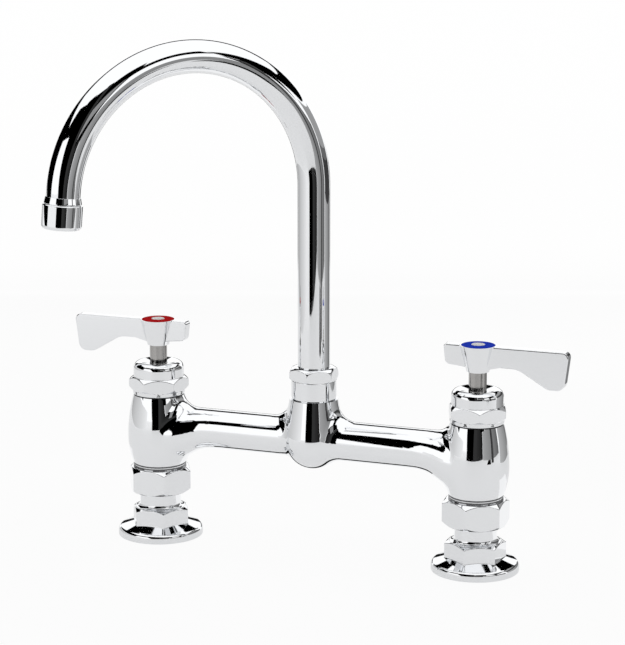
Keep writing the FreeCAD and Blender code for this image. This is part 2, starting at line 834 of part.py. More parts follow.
def stem(side):
    body = new_body(side + "_stem", side)
    foot = S.disc_radius - S.axial_gap
    groove_floor = S.stem_journal - S.stem_groove_depth
    clip_floor = S.stem_journal - S.clip_groove_depth
    lower, upper = stem_groove_bottoms()
    revolve(body, "Turned", [
        (ZERO, stem_foot_bottom),
        (foot, stem_foot_bottom),
        (foot, stem_foot_top),
        (S.stem_journal, stem_foot_top),
        (S.stem_journal, lower),
        (groove_floor, lower),
        (groove_floor, lower + S.stem_groove_width),
        (S.stem_journal, lower + S.stem_groove_width),
        (S.stem_journal, upper),
        (groove_floor, upper),
        (groove_floor, upper + S.stem_groove_width),
        (S.stem_journal, upper + S.stem_groove_width),
        (S.stem_journal, clip_bottom),
        (clip_floor, clip_bottom),
        (clip_floor, clip_top),
        (S.stem_journal, clip_top),
        (S.stem_journal, clip_top + S.stem_shoulder),
        (S.stem_radius, clip_top + S.stem_shoulder),
        (S.stem_radius, hub_bottom),
        (ZERO, hub_bottom),
    ])
    drive = new_sketch(body, "DriveOutline", "XY_Plane", height=hub_bottom)
    draw_outline(drive, square_corners(S.stem_drive_flats))
    pad_up(body, "Drive", drive, S.stem_drive_length)
    tongue = new_sketch(body, "TongueOutline", "XZ_Plane")
    half = S.disc_slot_width / 2 - S.running_gap
    draw_outline(tongue, box_corners(-half, half, stem_foot_bottom - S.disc_slot_depth + S.axial_gap,
                                     stem_foot_top))
    pad = pad_up(body, "Tongue", tongue, S.stem_tongue_length)
    pad.Midplane = True
    groove(body, "TappedHole", box_corners(ZERO, S.screw_radius + S.thread_gap,
                                           screw_seat - S.screw_length - S.overcut, stem_top))
    return finish(body)


def stem_clip(side):
    """A C-shaped retaining ring, open towards the user."""
    body = new_body(side + "_stem_clip", side)
    inner = S.stem_journal - S.clip_groove_depth + S.thread_gap
    lift = S.thread_gap / 2
    revolve(body, "Ring", box_corners(inner, S.clip_radius, clip_bottom + lift, clip_top - lift))
    mouth = new_sketch(body, "MouthOutline", "XY_Plane", height=clip_bottom)
    half = S.clip_mouth / 2
    draw_outline(mouth, box_corners(-half, half, -(S.clip_radius + S.overcut), -inner / 2))
    cut_up(body, "Mouth", mouth, S.clip_thickness)
    return finish(body)


def o_ring_pair(label, side, floor, bore, centres):
    """Two rubber rings, each in its own groove, clear of the bore that they seal."""
    rings = []
    thick = (bore - floor) / 2 - S.thread_gap
    middle = (bore + floor) / 2
    for number, centre in enumerate(centres, start=1):
        ring = doc.addObject("Part::Torus", "%s_%d" % (label, number))
        ring.setExpression("Radius1", middle.text)
        ring.setExpression("Radius2", thick.text)
        ring.setExpression("Placement.Base.z", centre.text)
        if side:
            ring.setExpression("Placement.Base.x", (SIDES[side] * S.inlet_centres / 2).text)
        rings.append(ring)
    pair = doc.addObject("Part::Compound", label)
    pair.Label = label
    pair.Links = rings
    return pair


def stem_o_rings(side):
    floor = S.stem_journal - S.stem_groove_depth
    bore = S.stem_journal + S.running_gap
    centres = [bottom + S.stem_groove_width / 2 for bottom in stem_groove_bottoms()]
    return o_ring_pair(side + "_stem_o_rings", side, floor, bore, centres)


def handle(side):
    """Wrist-blade handle: a tapered hub with a long blade outwards and a short tail inwards."""
    body = new_body(side + "_handle", side)
    out = SIDES[side]
    hub = revolve(body, "Hub", [
        (ZERO, hub_bottom),
        (S.hub_bottom_radius, hub_bottom),
        (S.hub_top_radius, hub_top),
        (ZERO, hub_top),
    ])
    lobe_bottom = hub_top - S.blade_drop
    waist = hub_top - S.waist_depth
    tail_bottom = hub_top - S.tail_depth
    lobe_inner = S.blade_foot - S.lobe_width
    rise_end = lobe_inner - S.lobe_slope
    root_bottom = hub_bottom + S.blade_root_rise
    outline = new_sketch(body, "BladeOutline", "XZ_Plane")
    draw_outline(outline, [
        (-S.tail_reach * out, hub_top),
        (S.blade_reach * out, hub_top),
        (S.blade_foot * out, lobe_bottom),
        (lobe_inner * out, lobe_bottom),
        (rise_end * out, waist),
        (S.hub_bottom_radius * 2 * out, waist),
        (S.blade_root_offset * out, root_bottom),
        (-S.blade_root_offset * out, tail_bottom - S.tail_slope),
        (-S.tail_foot * out, tail_bottom),
    ])
    blade = pad_up(body, "Blade", outline, S.blade_thickness)
    blade.Midplane = True
    rounds = [
        ("BladeTipRound", S.blade_tip_round, S.blade_reach, hub_top),
        ("LobeOuterRound", S.lobe_outer_round, S.blade_foot, lobe_bottom),
        ("LobeInnerRound", S.lobe_inner_round, lobe_inner, lobe_bottom),
        ("WaistRound", S.waist_round, rise_end, waist),
        ("TailRound", S.tail_round, -S.tail_foot, tail_bottom),
        ("TailTipRound", S.tail_round / 2, -S.tail_reach, hub_top),
    ]
    feature = blade
    for name, radius, corner_x, corner_z in rounds:
        place = (corner_x * out).value, corner_z.value

        def at_corner(point, edge, place=place):
            return abs(point.x - place[0]) < 0.05 and abs(point.z - place[1]) < 0.05

        feature = round_inner_edges(body, name, feature, radius, at_corner)
    half = S.blade_thickness.value / 2

    def at_blade_edge(point, edge):
        return abs(abs(point.y) - half) < 0.02 and abs(point.x) > S.hub_top_radius.value

    feature = round_inner_edges(body, "BladeEdgeRound", feature, S.blade_edge_round, at_blade_edge)

    def at_root(point, edge):
        beside = abs(abs(point.y) - half) < 0.02 and abs(point.x) < S.hub_top_radius.value
        climb = abs(edge.Vertexes[0].Z - edge.Vertexes[-1].Z)
        return beside and climb > S.hub_height.value / 2

    round_inner_edges(body, "RootRound", feature, S.blade_root_round, at_root)
    screw_hole = S.screw_radius + S.screw_head_gap
    head_hole = S.screw_head_radius + S.screw_head_gap
    groove(body, "IndexRecess", [
        (ZERO, drive_socket_top),
        (screw_hole, drive_socket_top),
        (screw_hole, screw_seat),
        (head_hole, screw_seat),
        (head_hole, index_floor),
        (S.index_radius + S.thread_gap, index_floor),
        (S.index_radius + S.thread_gap, hub_top),
        (ZERO, hub_top),
    ])
    socket = new_sketch(body, "DriveSocketOutline", "XY_Plane", height=hub_bottom)
    draw_outline(socket, square_corners(S.stem_drive_flats + S.running_gap * 2))
    cut_up(body, "DriveSocket", socket, drive_socket_top - hub_bottom)
    return finish(body)


def handle_screw(side):
    body = new_body(side + "_handle_screw", side)
    head_top = screw_seat + S.screw_head_height
    revolve(body, "Turned", [
        (ZERO, screw_seat - S.screw_length),
        (S.screw_radius, screw_seat - S.screw_length),
        (S.screw_radius, screw_seat),
        (S.screw_head_radius, screw_seat),
        (S.screw_head_radius, head_top - S.screw_head_chamfer),
        (S.screw_head_radius - S.screw_head_chamfer, head_top),
        (ZERO, head_top),
    ])
    recess = new_sketch(body, "RecessOutline", "XY_Plane", height=head_top - S.screw_socket_depth)
    draw_outline(recess, hexagon_corners(S.screw_socket_flats))
    cut_up(body, "Recess", recess, S.screw_socket_depth)
    return finish(body)


def index_ring(side):
    """The coloured ring pressed into the hub, slightly crowned."""
    body = new_body(side + "_index_ring", side)
    top = hub_top + S.index_stand
    inner = S.index_centre_radius + S.thread_gap / 2
    revolve(body, "Ring", [
        (inner, index_floor),
        (S.index_radius, index_floor),
        (S.index_radius, top - S.index_crown),
        (inner, top),
    ])
    return finish(body)


def index_centre(side):
    """The plain white middle of the index, with a shallow dimple."""
    body = new_body(side + "_index_centre", side)
    top = hub_top + S.index_stand + S.index_crown
    edge = S.index_centre_radius - S.thread_gap / 2
    revolve(body, "Button", [
        (ZERO, index_floor),
        (edge, index_floor),
        (edge, top - S.index_crown),
        (edge - S.index_crown, top),
        (S.index_dimple_radius, top),
        (ZERO, top - S.index_crown),
    ])
    return finish(body)


def spout_nut():
    body = new_body("spout_nut")
    skirt_top = swivel_face
    opening = S.tube_radius + S.running_gap
    hex_corner = S.spout_nut_flats / root(as_size(3))
    dome_edge = spout_nut_top - S.spout_nut_round
    dome_top_radius = hex_corner - S.spout_nut_round
    revolve(body, "Skirt", box_corners(ZERO, S.spout_nut_skirt_radius, spout_nut_bottom, skirt_top))
    add_hexagon(body, "Hexagon", S.spout_nut_flats, skirt_top, spout_nut_top, S.spout_nut_turn)
    foot_reach = S.spout_nut_skirt_radius + S.spout_nut_foot_reach
    groove(body, "HexagonFoot", [
        (S.spout_nut_skirt_radius, skirt_top - S.overcut),
        (foot_reach, skirt_top - S.overcut),
        (foot_reach, skirt_top + S.spout_nut_foot_rise),
        (S.spout_nut_skirt_radius, skirt_top),
    ])
    groove(body, "Dome", [
        (dome_top_radius, spout_nut_top, S.spout_nut_round, 1),
        (hex_corner, dome_edge),
        (hex_corner + S.overcut, dome_edge),
        (hex_corner + S.overcut, spout_nut_top + S.overcut),
        (dome_top_radius, spout_nut_top + S.overcut),
    ])
    thread = S.spout_thread_radius + S.thread_gap
    chamber = S.swivel_flange_radius + S.running_gap
    groove(body, "Bore", [
        (ZERO, spout_nut_bottom),
        (thread, spout_nut_bottom),
        (thread, swivel_flange_bottom),
        (chamber, swivel_flange_bottom),
        (chamber, spout_nut_shoulder),
        (opening, spout_nut_shoulder),
        (opening, spout_nut_top),
        (ZERO, spout_nut_top),
    ])
    return finish(body)


def spout_groove_bottoms():
    first = ferrule_bottom + S.spout_groove_height
    return [first, first + S.spout_groove_pitch]


def swivel_ferrule():
    """Brazed round the foot of the tube: it turns in the tee and its flange holds the spout down."""
    body = new_body("swivel_ferrule")
    barrel = S.socket_radius - S.running_gap
    floor = barrel - S.spout_groove_depth
    lower, upper = spout_groove_bottoms()
    revolve(body, "Turned", [
        (braze_bore, ferrule_bottom),
        (barrel, ferrule_bottom),
        (barrel, lower),
        (floor, lower),
        (floor, lower + S.spout_groove_width),
        (barrel, lower + S.spout_groove_width),
        (barrel, upper),
        (floor, upper),
        (floor, upper + S.spout_groove_width),
        (barrel, upper + S.spout_groove_width),
        (barrel, swivel_flange_bottom),
        (S.swivel_flange_radius, swivel_flange_bottom),
        (S.swivel_flange_radius, swivel_flange_top),
        (braze_bore, swivel_flange_top),
    ])
    return finish(body)


def spout_o_rings():
    floor = S.socket_radius - S.running_gap - S.spout_groove_depth
    centres = [bottom + S.spout_groove_width / 2 for bottom in spout_groove_bottoms()]
    return o_ring_pair("spout_o_rings", None, floor, S.socket_radius, centres)


def heading_placement():
    return "placement(vector(0; 0; 0); rotation(vector(0; 0; 1); %s))" % S.spout_heading.text


def outlet_placement():
    """The end of the arch, with +Z pointing out of the spout."""
    cosine = "cos(%s)" % S.arch_angle.text
    sine = "sin(%s)" % S.arch_angle.text
    reach = "%s * (1 - %s)" % (S.arch_radius.text, cosine)
    height = "%s + %s * %s" % (S.riser_height.text, S.arch_radius.text, sine)
    tilt = "rotation(vector(0; 1; 0); %s)" % S.arch_angle.text
    end = "placement(vector(%s; 0; %s); %s)" % (reach, height, tilt)
    return "%s * %s" % (heading_placement(), end)


def arch_end():
    """Numbers for the sketch of the gooseneck's line: its two ends of the straight tail."""
    angle = math.radians(S.arch_angle.value)
    x = S.arch_radius.value * (1 - math.cos(angle))
    z = S.riser_height.value + S.arch_radius.value * math.sin(angle)
    tail = S.tail_length.value
    return (x, z), (x + tail * math.sin(angle), z + tail * math.cos(angle))


def draw_gooseneck_line(sketch, foot):
    """Straight riser, round arch and short straight tail, each tangent to the next."""
    radius = S.arch_radius
    top = S.riser_height
    end, tip = arch_end()
    crown = FreeCAD.Vector(radius.value, top.value + radius.value, 0)
    riser = sketch.addGeometry(Part.LineSegment(
        FreeCAD.Vector(0, foot.value, 0), FreeCAD.Vector(0, top.value, 0)), False)
    arch = sketch.addGeometry(Part.Arc(
        FreeCAD.Vector(end[0], end[1], 0), crown, FreeCAD.Vector(0, top.value, 0)), False)
    tail = sketch.addGeometry(Part.LineSegment(
        FreeCAD.Vector(end[0], end[1], 0), FreeCAD.Vector(tip[0], tip[1], 0)), False)
    sketch.addConstraint(Sketcher.Constraint("PointOnObject", riser, 1, -2))
    sketch.addConstraint(Sketcher.Constraint("PointOnObject", riser, 2, -2))
    pin_coordinate(sketch, "DistanceY", riser, 1, foot)
    pin_coordinate(sketch, "DistanceY", riser, 2, top)
    sketch.addConstraint(Sketcher.Constraint("Tangent", riser, 2, arch, 2))
    sketch.addConstraint(Sketcher.Constraint("Tangent", arch, 1, tail, 1))
    index = sketch.addConstraint(Sketcher.Constraint("Radius", arch, radius.value))
    sketch.setExpression("Constraints[%d]" % index, radius.text)
    pin_coordinate(sketch, "DistanceX", tail, 1, radius - radius * cosine_of(S.arch_angle))
    index = sketch.addConstraint(Sketcher.Constraint("Distance", tail, S.tail_length.value))
    sketch.setExpression("Constraints[%d]" % index, S.tail_length.text)


def spout_tube():
    body = new_body("spout_tube")
    body.setExpression("Placement", heading_placement())
    foot = ferrule_bottom
    line = new_sketch(body, "Centreline", "XZ_Plane")
    draw_gooseneck_line(line, foot)
    section = new_sketch(body, "Section", "XY_Plane", height=foot)
    draw_circle(section, S.tube_radius)
    bore_section = new_sketch(body, "BoreSection", "XY_Plane", height=foot)
    draw_circle(bore_section, S.tube_radius - S.tube_wall)
    tube = body.newObject("PartDesign::AdditivePipe", "Tube")
    tube.Profile = section
    tube.Spine = (line, ["Edge1", "Edge2", "Edge3"])
    bore = body.newObject("PartDesign::SubtractivePipe", "Bore")
    bore.Profile = bore_section
    bore.Spine = (line, ["Edge1", "Edge2", "Edge3"])
    return finish(body)


def outlet_body(label):
    body = new_body(label)
    body.setExpression("Placement", outlet_placement())
    return body


def outlet_ferrule():
    """Brazed over the end of the tube: a small flare, and the thread that the aerator screws onto."""
    body = outlet_body("outlet_ferrule")
    flare_end = S.ferrule_start + S.ferrule_flare_length
    revolve(body, "Turned", [
        (braze_bore, S.ferrule_start),
        (S.ferrule_top_radius, S.ferrule_start),
        (S.ferrule_flare_radius, flare_end - S.ferrule_edge),
        (S.ferrule_flare_radius, flare_end),
        (S.outlet_thread_radius, flare_end),
        (S.outlet_thread_radius, outlet_thread_end),
        (braze_bore, outlet_thread_end),
    ])
    return finish(body)


def aerator_housing():
    body = outlet_body("aerator_housing")
    thread = S.outlet_thread_radius + S.thread_gap
    rounded = S.aerator_radius - S.aerator_round
    revolve(body, "Turned", [
        (thread, aerator_start),
        (S.aerator_radius - S.aerator_chamfer, aerator_start),
        (S.aerator_radius, aerator_start + S.aerator_chamfer),
        (S.aerator_radius, aerator_end - S.aerator_round, S.aerator_round, -1),
        (rounded, aerator_end),
        (S.aerator_mouth, aerator_end),
        (S.aerator_mouth, aerator_floor),
        (thread, aerator_floor),
    ])
    return finish(body)


def aerator_washer():
    body = outlet_body("aerator_washer")
    outer = S.outlet_thread_radius - S.thread_gap
    revolve(body, "Ring", box_corners(S.insert_bore, outer, outlet_thread_end, insert_start))
    return finish(body)


def aerator_insert():
    """The plastic flow former: a cup whose floor has a ring of holes."""
    body = outlet_body("aerator_insert")
    outer = S.outlet_thread_radius - S.thread_gap
    floor = insert_start + S.insert_floor
    revolve(body, "Cup", [
        (ZERO, insert_start),
        (outer, insert_start),
        (outer, insert_end),
        (S.insert_bore, insert_end),
        (S.insert_bore, floor),
        (ZERO, floor),
    ])
    hole = new_sketch(body, "HoleOutline", "XY_Plane", height=insert_start)
    draw_circle(hole, S.insert_hole, S.insert_hole_circle, ZERO)
    holes = cut_up(body, "Hole", hole, S.insert_floor)
    doc.recompute()
    pattern = body.newObject("PartDesign::PolarPattern", "Holes")
    pattern.Originals = [holes]
    pattern.Axis = (hole, ["N_Axis"])
    pattern.Angle = 360
    pattern.Occurrences = INSERT_HOLES
    return finish(body)


def aerator_screen():
    """The wire screen at the mouth, as one thin plate with rings of small holes."""
    body = outlet_body("aerator_screen")
    outer = S.outlet_thread_radius - S.thread_gap
    revolve(body, "Disc", box_corners(ZERO, outer, insert_end, aerator_floor))
    for number in range(1, SCREEN_RINGS + 1):
        hole = new_sketch(body, "HoleOutline%d" % number, "XY_Plane", height=insert_end)
        draw_circle(hole, S.screen_hole, S.screen_pitch * number, ZERO)
        holes = cut_up(body, "Hole%d" % number, hole, S.screen_thickness)
        doc.recompute()
        pattern = body.newObject("PartDesign::PolarPattern", "Holes%d" % number)
        pattern.Originals = [holes]
        pattern.Axis = (hole, ["N_Axis"])
        pattern.Angle = 360
        pattern.Occurrences = SCREEN_HOLES_PER_RING * number
        body.Tip = pattern
    return finish(body)


def swivel_washer():
    inner = S.tube_radius + S.running_gap
    return washer("swivel_washer", None, inner, S.swivel_flange_radius,
                  swivel_washer_bottom, swivel_washer_top)


def valve_column(side):
    """Every piece from the deck up to the handle on one side."""
    union_outer = S.union_thread_radius - S.thread_gap
    seal_outer = S.disc_radius
    gasket_inner = S.bonnet_thread_radius + S.thread_gap
    return [
        deck_flange(side),
        coupling_nut(side),
        washer(side + "_union_washer", side, S.waterway_radius, union_outer, collar_top, union_top),
        washer(side + "_seat_seal", side, S.seal_bore, seal_outer, seat, lower_disc_bottom),
        lower_disc(side),
        upper_disc(side),
        cartridge_body(side),
        stem(side),
        stem_o_rings(side),
        stem_clip(side),
        washer(side + "_bonnet_gasket", side, gasket_inner, S.gasket_radius, barrel_top, gasket_top),
        bonnet(side),
        handle(side),
        handle_screw(side),
        index_ring(side),
        index_centre(side),
    ]


def spout_group():
    return [
        spout_tube(),
        swivel_ferrule(),
        spout_o_rings(),
        swivel_washer(),
        spout_nut(),
        outlet_ferrule(),
        aerator_housing(),
        aerator_washer(),
        aerator_insert(),
        aerator_screen(),
    ]


pieces = [bridge_body()]
for side_name in SIDES:
    pieces += valve_column(side_name)
pieces += spout_group()
doc.recompute()

faults = []
for item in doc.Objects:
    if "Invalid" in item.State or "Error" in item.State:
        faults.append("%s: %s" % (item.Label, item.State))
for piece in pieces:
    if piece.Shape.isNull() or not piece.Shape.isValid():
        faults.append("%s has no valid shape" % piece.Label)
if faults:
    raise RuntimeError("; ".join(faults))

os.makedirs("parts", exist_ok=True)
for piece in pieces:
    piece.Shape.exportStep("parts/%s.step" % piece.Label)
    box = piece.Shape.BoundBox
    print("%-22s solids %d volume %9.1f  x %.1f..%.1f y %.1f..%.1f z %.1f..%.1f" % (
        piece.Label, len(piece.Shape.Solids), piece.Shape.Volume,
        box.XMin, box.XMax, box.YMin, box.YMax, box.ZMin, box.ZMax))
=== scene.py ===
import math

import bmesh
import bpy
from mathutils import Matrix, Vector


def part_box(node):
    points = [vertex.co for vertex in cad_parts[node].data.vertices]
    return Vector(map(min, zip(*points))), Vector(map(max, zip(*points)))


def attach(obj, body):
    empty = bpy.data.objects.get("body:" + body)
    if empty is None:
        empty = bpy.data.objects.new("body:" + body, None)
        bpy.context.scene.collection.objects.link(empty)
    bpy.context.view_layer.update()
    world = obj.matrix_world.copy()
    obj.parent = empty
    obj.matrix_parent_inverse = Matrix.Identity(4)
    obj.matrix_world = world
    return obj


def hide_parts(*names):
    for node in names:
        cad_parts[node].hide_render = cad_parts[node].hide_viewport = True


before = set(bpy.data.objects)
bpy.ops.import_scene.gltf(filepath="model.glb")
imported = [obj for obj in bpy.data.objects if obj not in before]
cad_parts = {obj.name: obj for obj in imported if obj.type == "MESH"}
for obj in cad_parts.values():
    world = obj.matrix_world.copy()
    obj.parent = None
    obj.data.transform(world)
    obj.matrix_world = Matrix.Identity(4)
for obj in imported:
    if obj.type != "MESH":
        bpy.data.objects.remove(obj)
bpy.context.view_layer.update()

# The deck flanges stand on the counter over the two inlets. Each is one brass turning, chromed all over:
# a dished foot, a hexagon for the wrench, and a neck whose collar the coupling nut pulls up.
MM = 0.001
SIDES = ("hot", "cold")
LATHE_SIDES = 96
FLANGE_BORE = 9.3 * MM
FLANGE_RADIUS = 26.0 * MM
FLANGE_RIM_TOP = 4.9 * MM
FLANGE_RIM_ROUND = 1.7 * MM
FLANGE_CROWN_RADIUS = 15.4 * MM
FLANGE_CROWN_TOP = 8.4 * MM
BASE_HEX_FLATS = 32.0 * MM
BASE_HEX_BURIED = 6.0 * MM
BASE_HEX_TOP = 17.8 * MM
BASE_HEX_TURN = {"hot": 0.4, "cold": 25.3}
BASE_HEX_CHAMFER = 30.0
NECK_RADIUS = 12.6 * MM
NECK_COVE = 2.8 * MM
COLLAR_RADIUS = 15.3 * MM
COLLAR_BOTTOM = 31.2 * MM
COLLAR_TOP = 34.4 * MM
WATERWAY_RADIUS = 7.0 * MM
WATERWAY_START = 16.0 * MM
HEX_CHAMFER_DEPTH = 0.35 * MM
HEX_BLANK_SPARE = 0.6 * MM
CHROME_COLOUR = (0.86, 0.87, 0.885, 1.0)
CHROME_POLISH = (0.018, 0.055)

column_centre = {}
for side in SIDES:
    low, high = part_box(side + "_deck_flange")
    column_centre[side] = Vector(((low.x + high.x) / 2, 0.0, 0.0))


def start_piece():
    """Let go of everything, so that the next tool touches the new piece alone."""
    bpy.ops.object.select_all(action="DESELECT")


def select_corner(piece, centre, radius, height):
    """Pick the ring of edges where two turned faces meet."""
    bpy.ops.mesh.select_mode(type="EDGE")
    bpy.ops.mesh.select_all(action="DESELECT")
    shape = bmesh.from_edit_mesh(piece.data)
    for edge in shape.edges:
        if all(abs(math.hypot(end.co.x - centre.x, end.co.y - centre.y) - radius) < 0.01 * MM
               and abs(end.co.z - height) < 0.01 * MM for end in edge.verts):
            edge.select_set(True)
    bmesh.update_edit_mesh(piece.data)


def turn_on_lathe(name, centre, profile, turn=0.0, solid=False):
    """Draw a ring up through the profile's corners: radius, height and, for a rounded corner, its size."""
    start_piece()
    radius, height = profile[0][:2]
    bpy.ops.mesh.primitive_circle_add(
        vertices=LATHE_SIDES, radius=radius, fill_type="NGON" if solid else "NOTHING",
        location=(centre.x, centre.y, height), rotation=(0.0, 0.0, turn))
    piece = bpy.context.object
    piece.name = name
    bpy.ops.object.transform_apply(location=True, rotation=True, scale=True)
    bpy.ops.object.mode_set(mode="EDIT")
    bpy.ops.mesh.select_all(action="SELECT")
    for corner in profile[1:]:
        bpy.ops.mesh.extrude_region_move()
        bpy.ops.transform.translate(value=(0.0, 0.0, corner[1] - height))
        growth = corner[0] / radius
        radius, height = corner[:2]
        bpy.ops.transform.resize(value=(growth, growth, 1.0), center_override=(centre.x, centre.y, height))
    bpy.ops.mesh.select_all(action="SELECT")
    bpy.ops.mesh.remove_doubles(threshold=0.001 * MM)
    bpy.ops.mesh.normals_make_consistent(inside=False)
    for corner in profile:
        if len(corner) == 4:
            select_corner(piece, centre, corner[0], corner[1])
            bpy.ops.mesh.bevel(offset=corner[2], segments=corner[3], profile=0.5, affect="EDGES")
    bpy.ops.object.mode_set(mode="OBJECT")
    return piece


def mill_hexagon(piece, centre, flats, turn):
    """Cut the six wrench flats off a turned blank."""
    bpy.ops.object.mode_set(mode="EDIT")
    for number in range(6):
        angle = turn + math.radians(30.0 + 60.0 * number)
        outward = Vector((math.cos(angle), math.sin(angle), 0.0))
        bpy.ops.mesh.select_all(action="SELECT")
        bpy.ops.mesh.bisect(plane_co=centre + outward * flats / 2, plane_no=outward,
                            use_fill=True, clear_outer=True)
    bpy.ops.object.mode_set(mode="OBJECT")


def hex_blank(flats, chamfer):
    """Radius where the chamfer starts, radius of the bar that is milled, and the chamfer's fall between."""
    start = flats / 2 - HEX_CHAMFER_DEPTH
    bar = flats / math.sqrt(3.0) + HEX_BLANK_SPARE
    return start, bar, (bar - start) * math.tan(math.radians(chamfer))


def apply_modifiers(piece):
    start_piece()
    piece.select_set(True)
    bpy.context.view_layer.objects.active = piece
    for name in [modifier.name for modifier in piece.modifiers]:
        bpy.ops.object.modifier_apply(modifier=name)


def fuse(piece, other):
    """Make one solid of two that overlap."""
    union = piece.modifiers.new("fuse", "BOOLEAN")
    union.operation = "UNION"
    union.solver = "EXACT"
    union.object = other
    apply_modifiers(piece)
    bpy.data.objects.remove(other)
    bpy.ops.object.mode_set(mode="EDIT")
    bpy.ops.mesh.select_all(action="SELECT")
    bpy.ops.mesh.remove_doubles(threshold=0.05 * MM)
    bpy.ops.object.mode_set(mode="OBJECT")


def break_edges(piece, width, angle=20.0):
    """Round every sharp edge a little, as polishing does, and keep the flats flat."""
    rounding = piece.modifiers.new("edges", "BEVEL")
    rounding.width = width
    rounding.segments = 3
    rounding.limit_method = "ANGLE"
    rounding.angle_limit = math.radians(angle)
    rounding.use_clamp_overlap = False
    flatness = piece.modifiers.new("flats", "WEIGHTED_NORMAL")
    flatness.keep_sharp = True
    start_piece()
    piece.select_set(True)
    bpy.context.view_layer.objects.active = piece
    bpy.ops.object.shade_smooth()
    apply_modifiers(piece)


def put_node(material, kind, **sockets):
    node = material.node_tree.nodes.new("ShaderNode" + kind)
    for name, value in sockets.items():
        node.inputs[name.replace("_", " ")].default_value = value
    return node


def new_finish(name, colour, metallic=0.0):
    material = bpy.data.materials.new(name)
    material.use_nodes = True
    shader = material.node_tree.nodes["Principled BSDF"]
    shader.inputs["Base Color"].default_value = colour
    shader.inputs["Metallic"].default_value = metallic
    return material, shader


def vary_roughness(material, shader, grain, smoothest, roughest, stretch=(1.0, 1.0, 1.0)):
    """Patches of more and less polish, of the grain's size, drawn out along stretch."""
    links = material.node_tree.links
    place = put_node(material, "TexCoord")
    mapping = put_node(material, "Mapping", Scale=stretch)
    patches = put_node(material, "TexNoise", Scale=1.0 / grain, Detail=4.0, Roughness=0.6)
    spread = put_node(material, "MapRange", From_Min=0.3, From_Max=0.7, To_Min=smoothest, To_Max=roughest)
    links.new(place.outputs["Object"], mapping.inputs["Vector"])
    links.new(mapping.outputs["Vector"], patches.inputs["Vector"])
    links.new(patches.outputs["Fac"], spread.inputs["Value"])
    links.new(spread.outputs["Result"], shader.inputs["Roughness"])


def add_relief(material, shader, grain, depth, detail=2.0, stretch=(1.0, 1.0, 1.0)):
    """Unevenness of the surface: lumps of the grain's size and of that depth."""
    links = material.node_tree.links
    place = put_node(material, "TexCoord")
    mapping = put_node(material, "Mapping", Scale=stretch)
    lumps = put_node(material, "TexNoise", Scale=1.0 / grain, Detail=detail)
    bump = put_node(material, "Bump", Distance=depth)
    links.new(place.outputs["Object"], mapping.inputs["Vector"])
    links.new(mapping.outputs["Vector"], lumps.inputs["Vector"])
    links.new(lumps.outputs["Fac"], bump.inputs["Height"])
    links.new(bump.outputs["Normal"], shader.inputs["Normal"])


def chrome_plate(name, ripple, ripple_depth):
    """Bright chrome on buffed brass: a mirror with faint wiping haze and the buffing wheel's ripple."""
    material, shader = new_finish(name, CHROME_COLOUR, metallic=1.0)
    vary_roughness(material, shader, 9.0 * MM, *CHROME_POLISH)
    add_relief(material, shader, ripple, ripple_depth)
    return material


def dress(piece, material, body, slot, *nodes):
    """Plate the piece, hang it on its body, and hide the nodes it takes the place of."""
    piece.data.materials.clear()
    piece.data.materials.append(material)
    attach(piece, body)
    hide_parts(*nodes)


turned_chrome = chrome_plate("turned_chrome", 14.0 * MM, 0.004 * MM)
for side in SIDES:
    centre = column_centre[side]
    turn = math.radians(BASE_HEX_TURN[side])
    start, bar, fall = hex_blank(BASE_HEX_FLATS, BASE_HEX_CHAMFER)
    neck = turn_on_lathe(side + "_flange_neck", centre, [
        (FLANGE_BORE, BASE_HEX_BURIED),
        (bar, BASE_HEX_BURIED),
        (bar, BASE_HEX_TOP - fall),
        (start, BASE_HEX_TOP),
        (NECK_RADIUS, BASE_HEX_TOP, NECK_COVE, 10),
        (NECK_RADIUS, COLLAR_BOTTOM),
        (COLLAR_RADIUS, COLLAR_BOTTOM),
        (COLLAR_RADIUS, COLLAR_TOP),
        (WATERWAY_RADIUS, COLLAR_TOP),
        (WATERWAY_RADIUS, WATERWAY_START),
        (FLANGE_BORE, WATERWAY_START),
        (FLANGE_BORE, BASE_HEX_BURIED),
    ], turn)
    mill_hexagon(neck, centre, BASE_HEX_FLATS, turn)
    flange = turn_on_lathe(side + "_flange", centre, [
        (FLANGE_BORE, 0.0),
        (FLANGE_RADIUS, 0.0),
        (FLANGE_RADIUS, FLANGE_RIM_TOP, FLANGE_RIM_ROUND, 10),
        (FLANGE_CROWN_RADIUS, FLANGE_CROWN_TOP),
        (FLANGE_BORE, FLANGE_CROWN_TOP),
        (FLANGE_BORE, 0.0),
    ], turn)
    fuse(flange, neck)
    break_edges(flange, 0.3 * MM)
    dress(flange, turned_chrome, "faucet_body", "chrome", side + "_deck_flange")

# The coupling nuts are hexagon nuts, chromed. Each hangs on the collar of its flange and screws up onto the
# thread under the valve body, with a rubber washer squeezed between.
COUPLING_FLATS = 35.3 * MM
COUPLING_BOTTOM = 27.7 * MM
COUPLING_TOP = 43.4 * MM
COUPLING_LIP_RADIUS = 12.8 * MM
COUPLING_THREAD_RADIUS = 15.95 * MM
COUPLING_TURN = {"hot": 1.3, "cold": 29.5}
NUT_CHAMFER = 40.0
THREAD_ROOT = 15.7 * MM
CREST_RADIUS = 16.15 * MM
CREST_VALLEY = 15.85 * MM
CREST_BOTTOM = 43.75 * MM
CREST_HEIGHT = 0.9 * MM
CREST_PITCH = 1.4 * MM
CREST_ROUND = 0.2 * MM
# Painted shade: the thread is coloured dark grey to stand in for the shadow in its grooves.
THREAD_SHADE_COLOUR = (0.16, 0.16, 0.165, 1.0)
RUBBER_COLOUR = (0.012, 0.012, 0.013, 1.0)


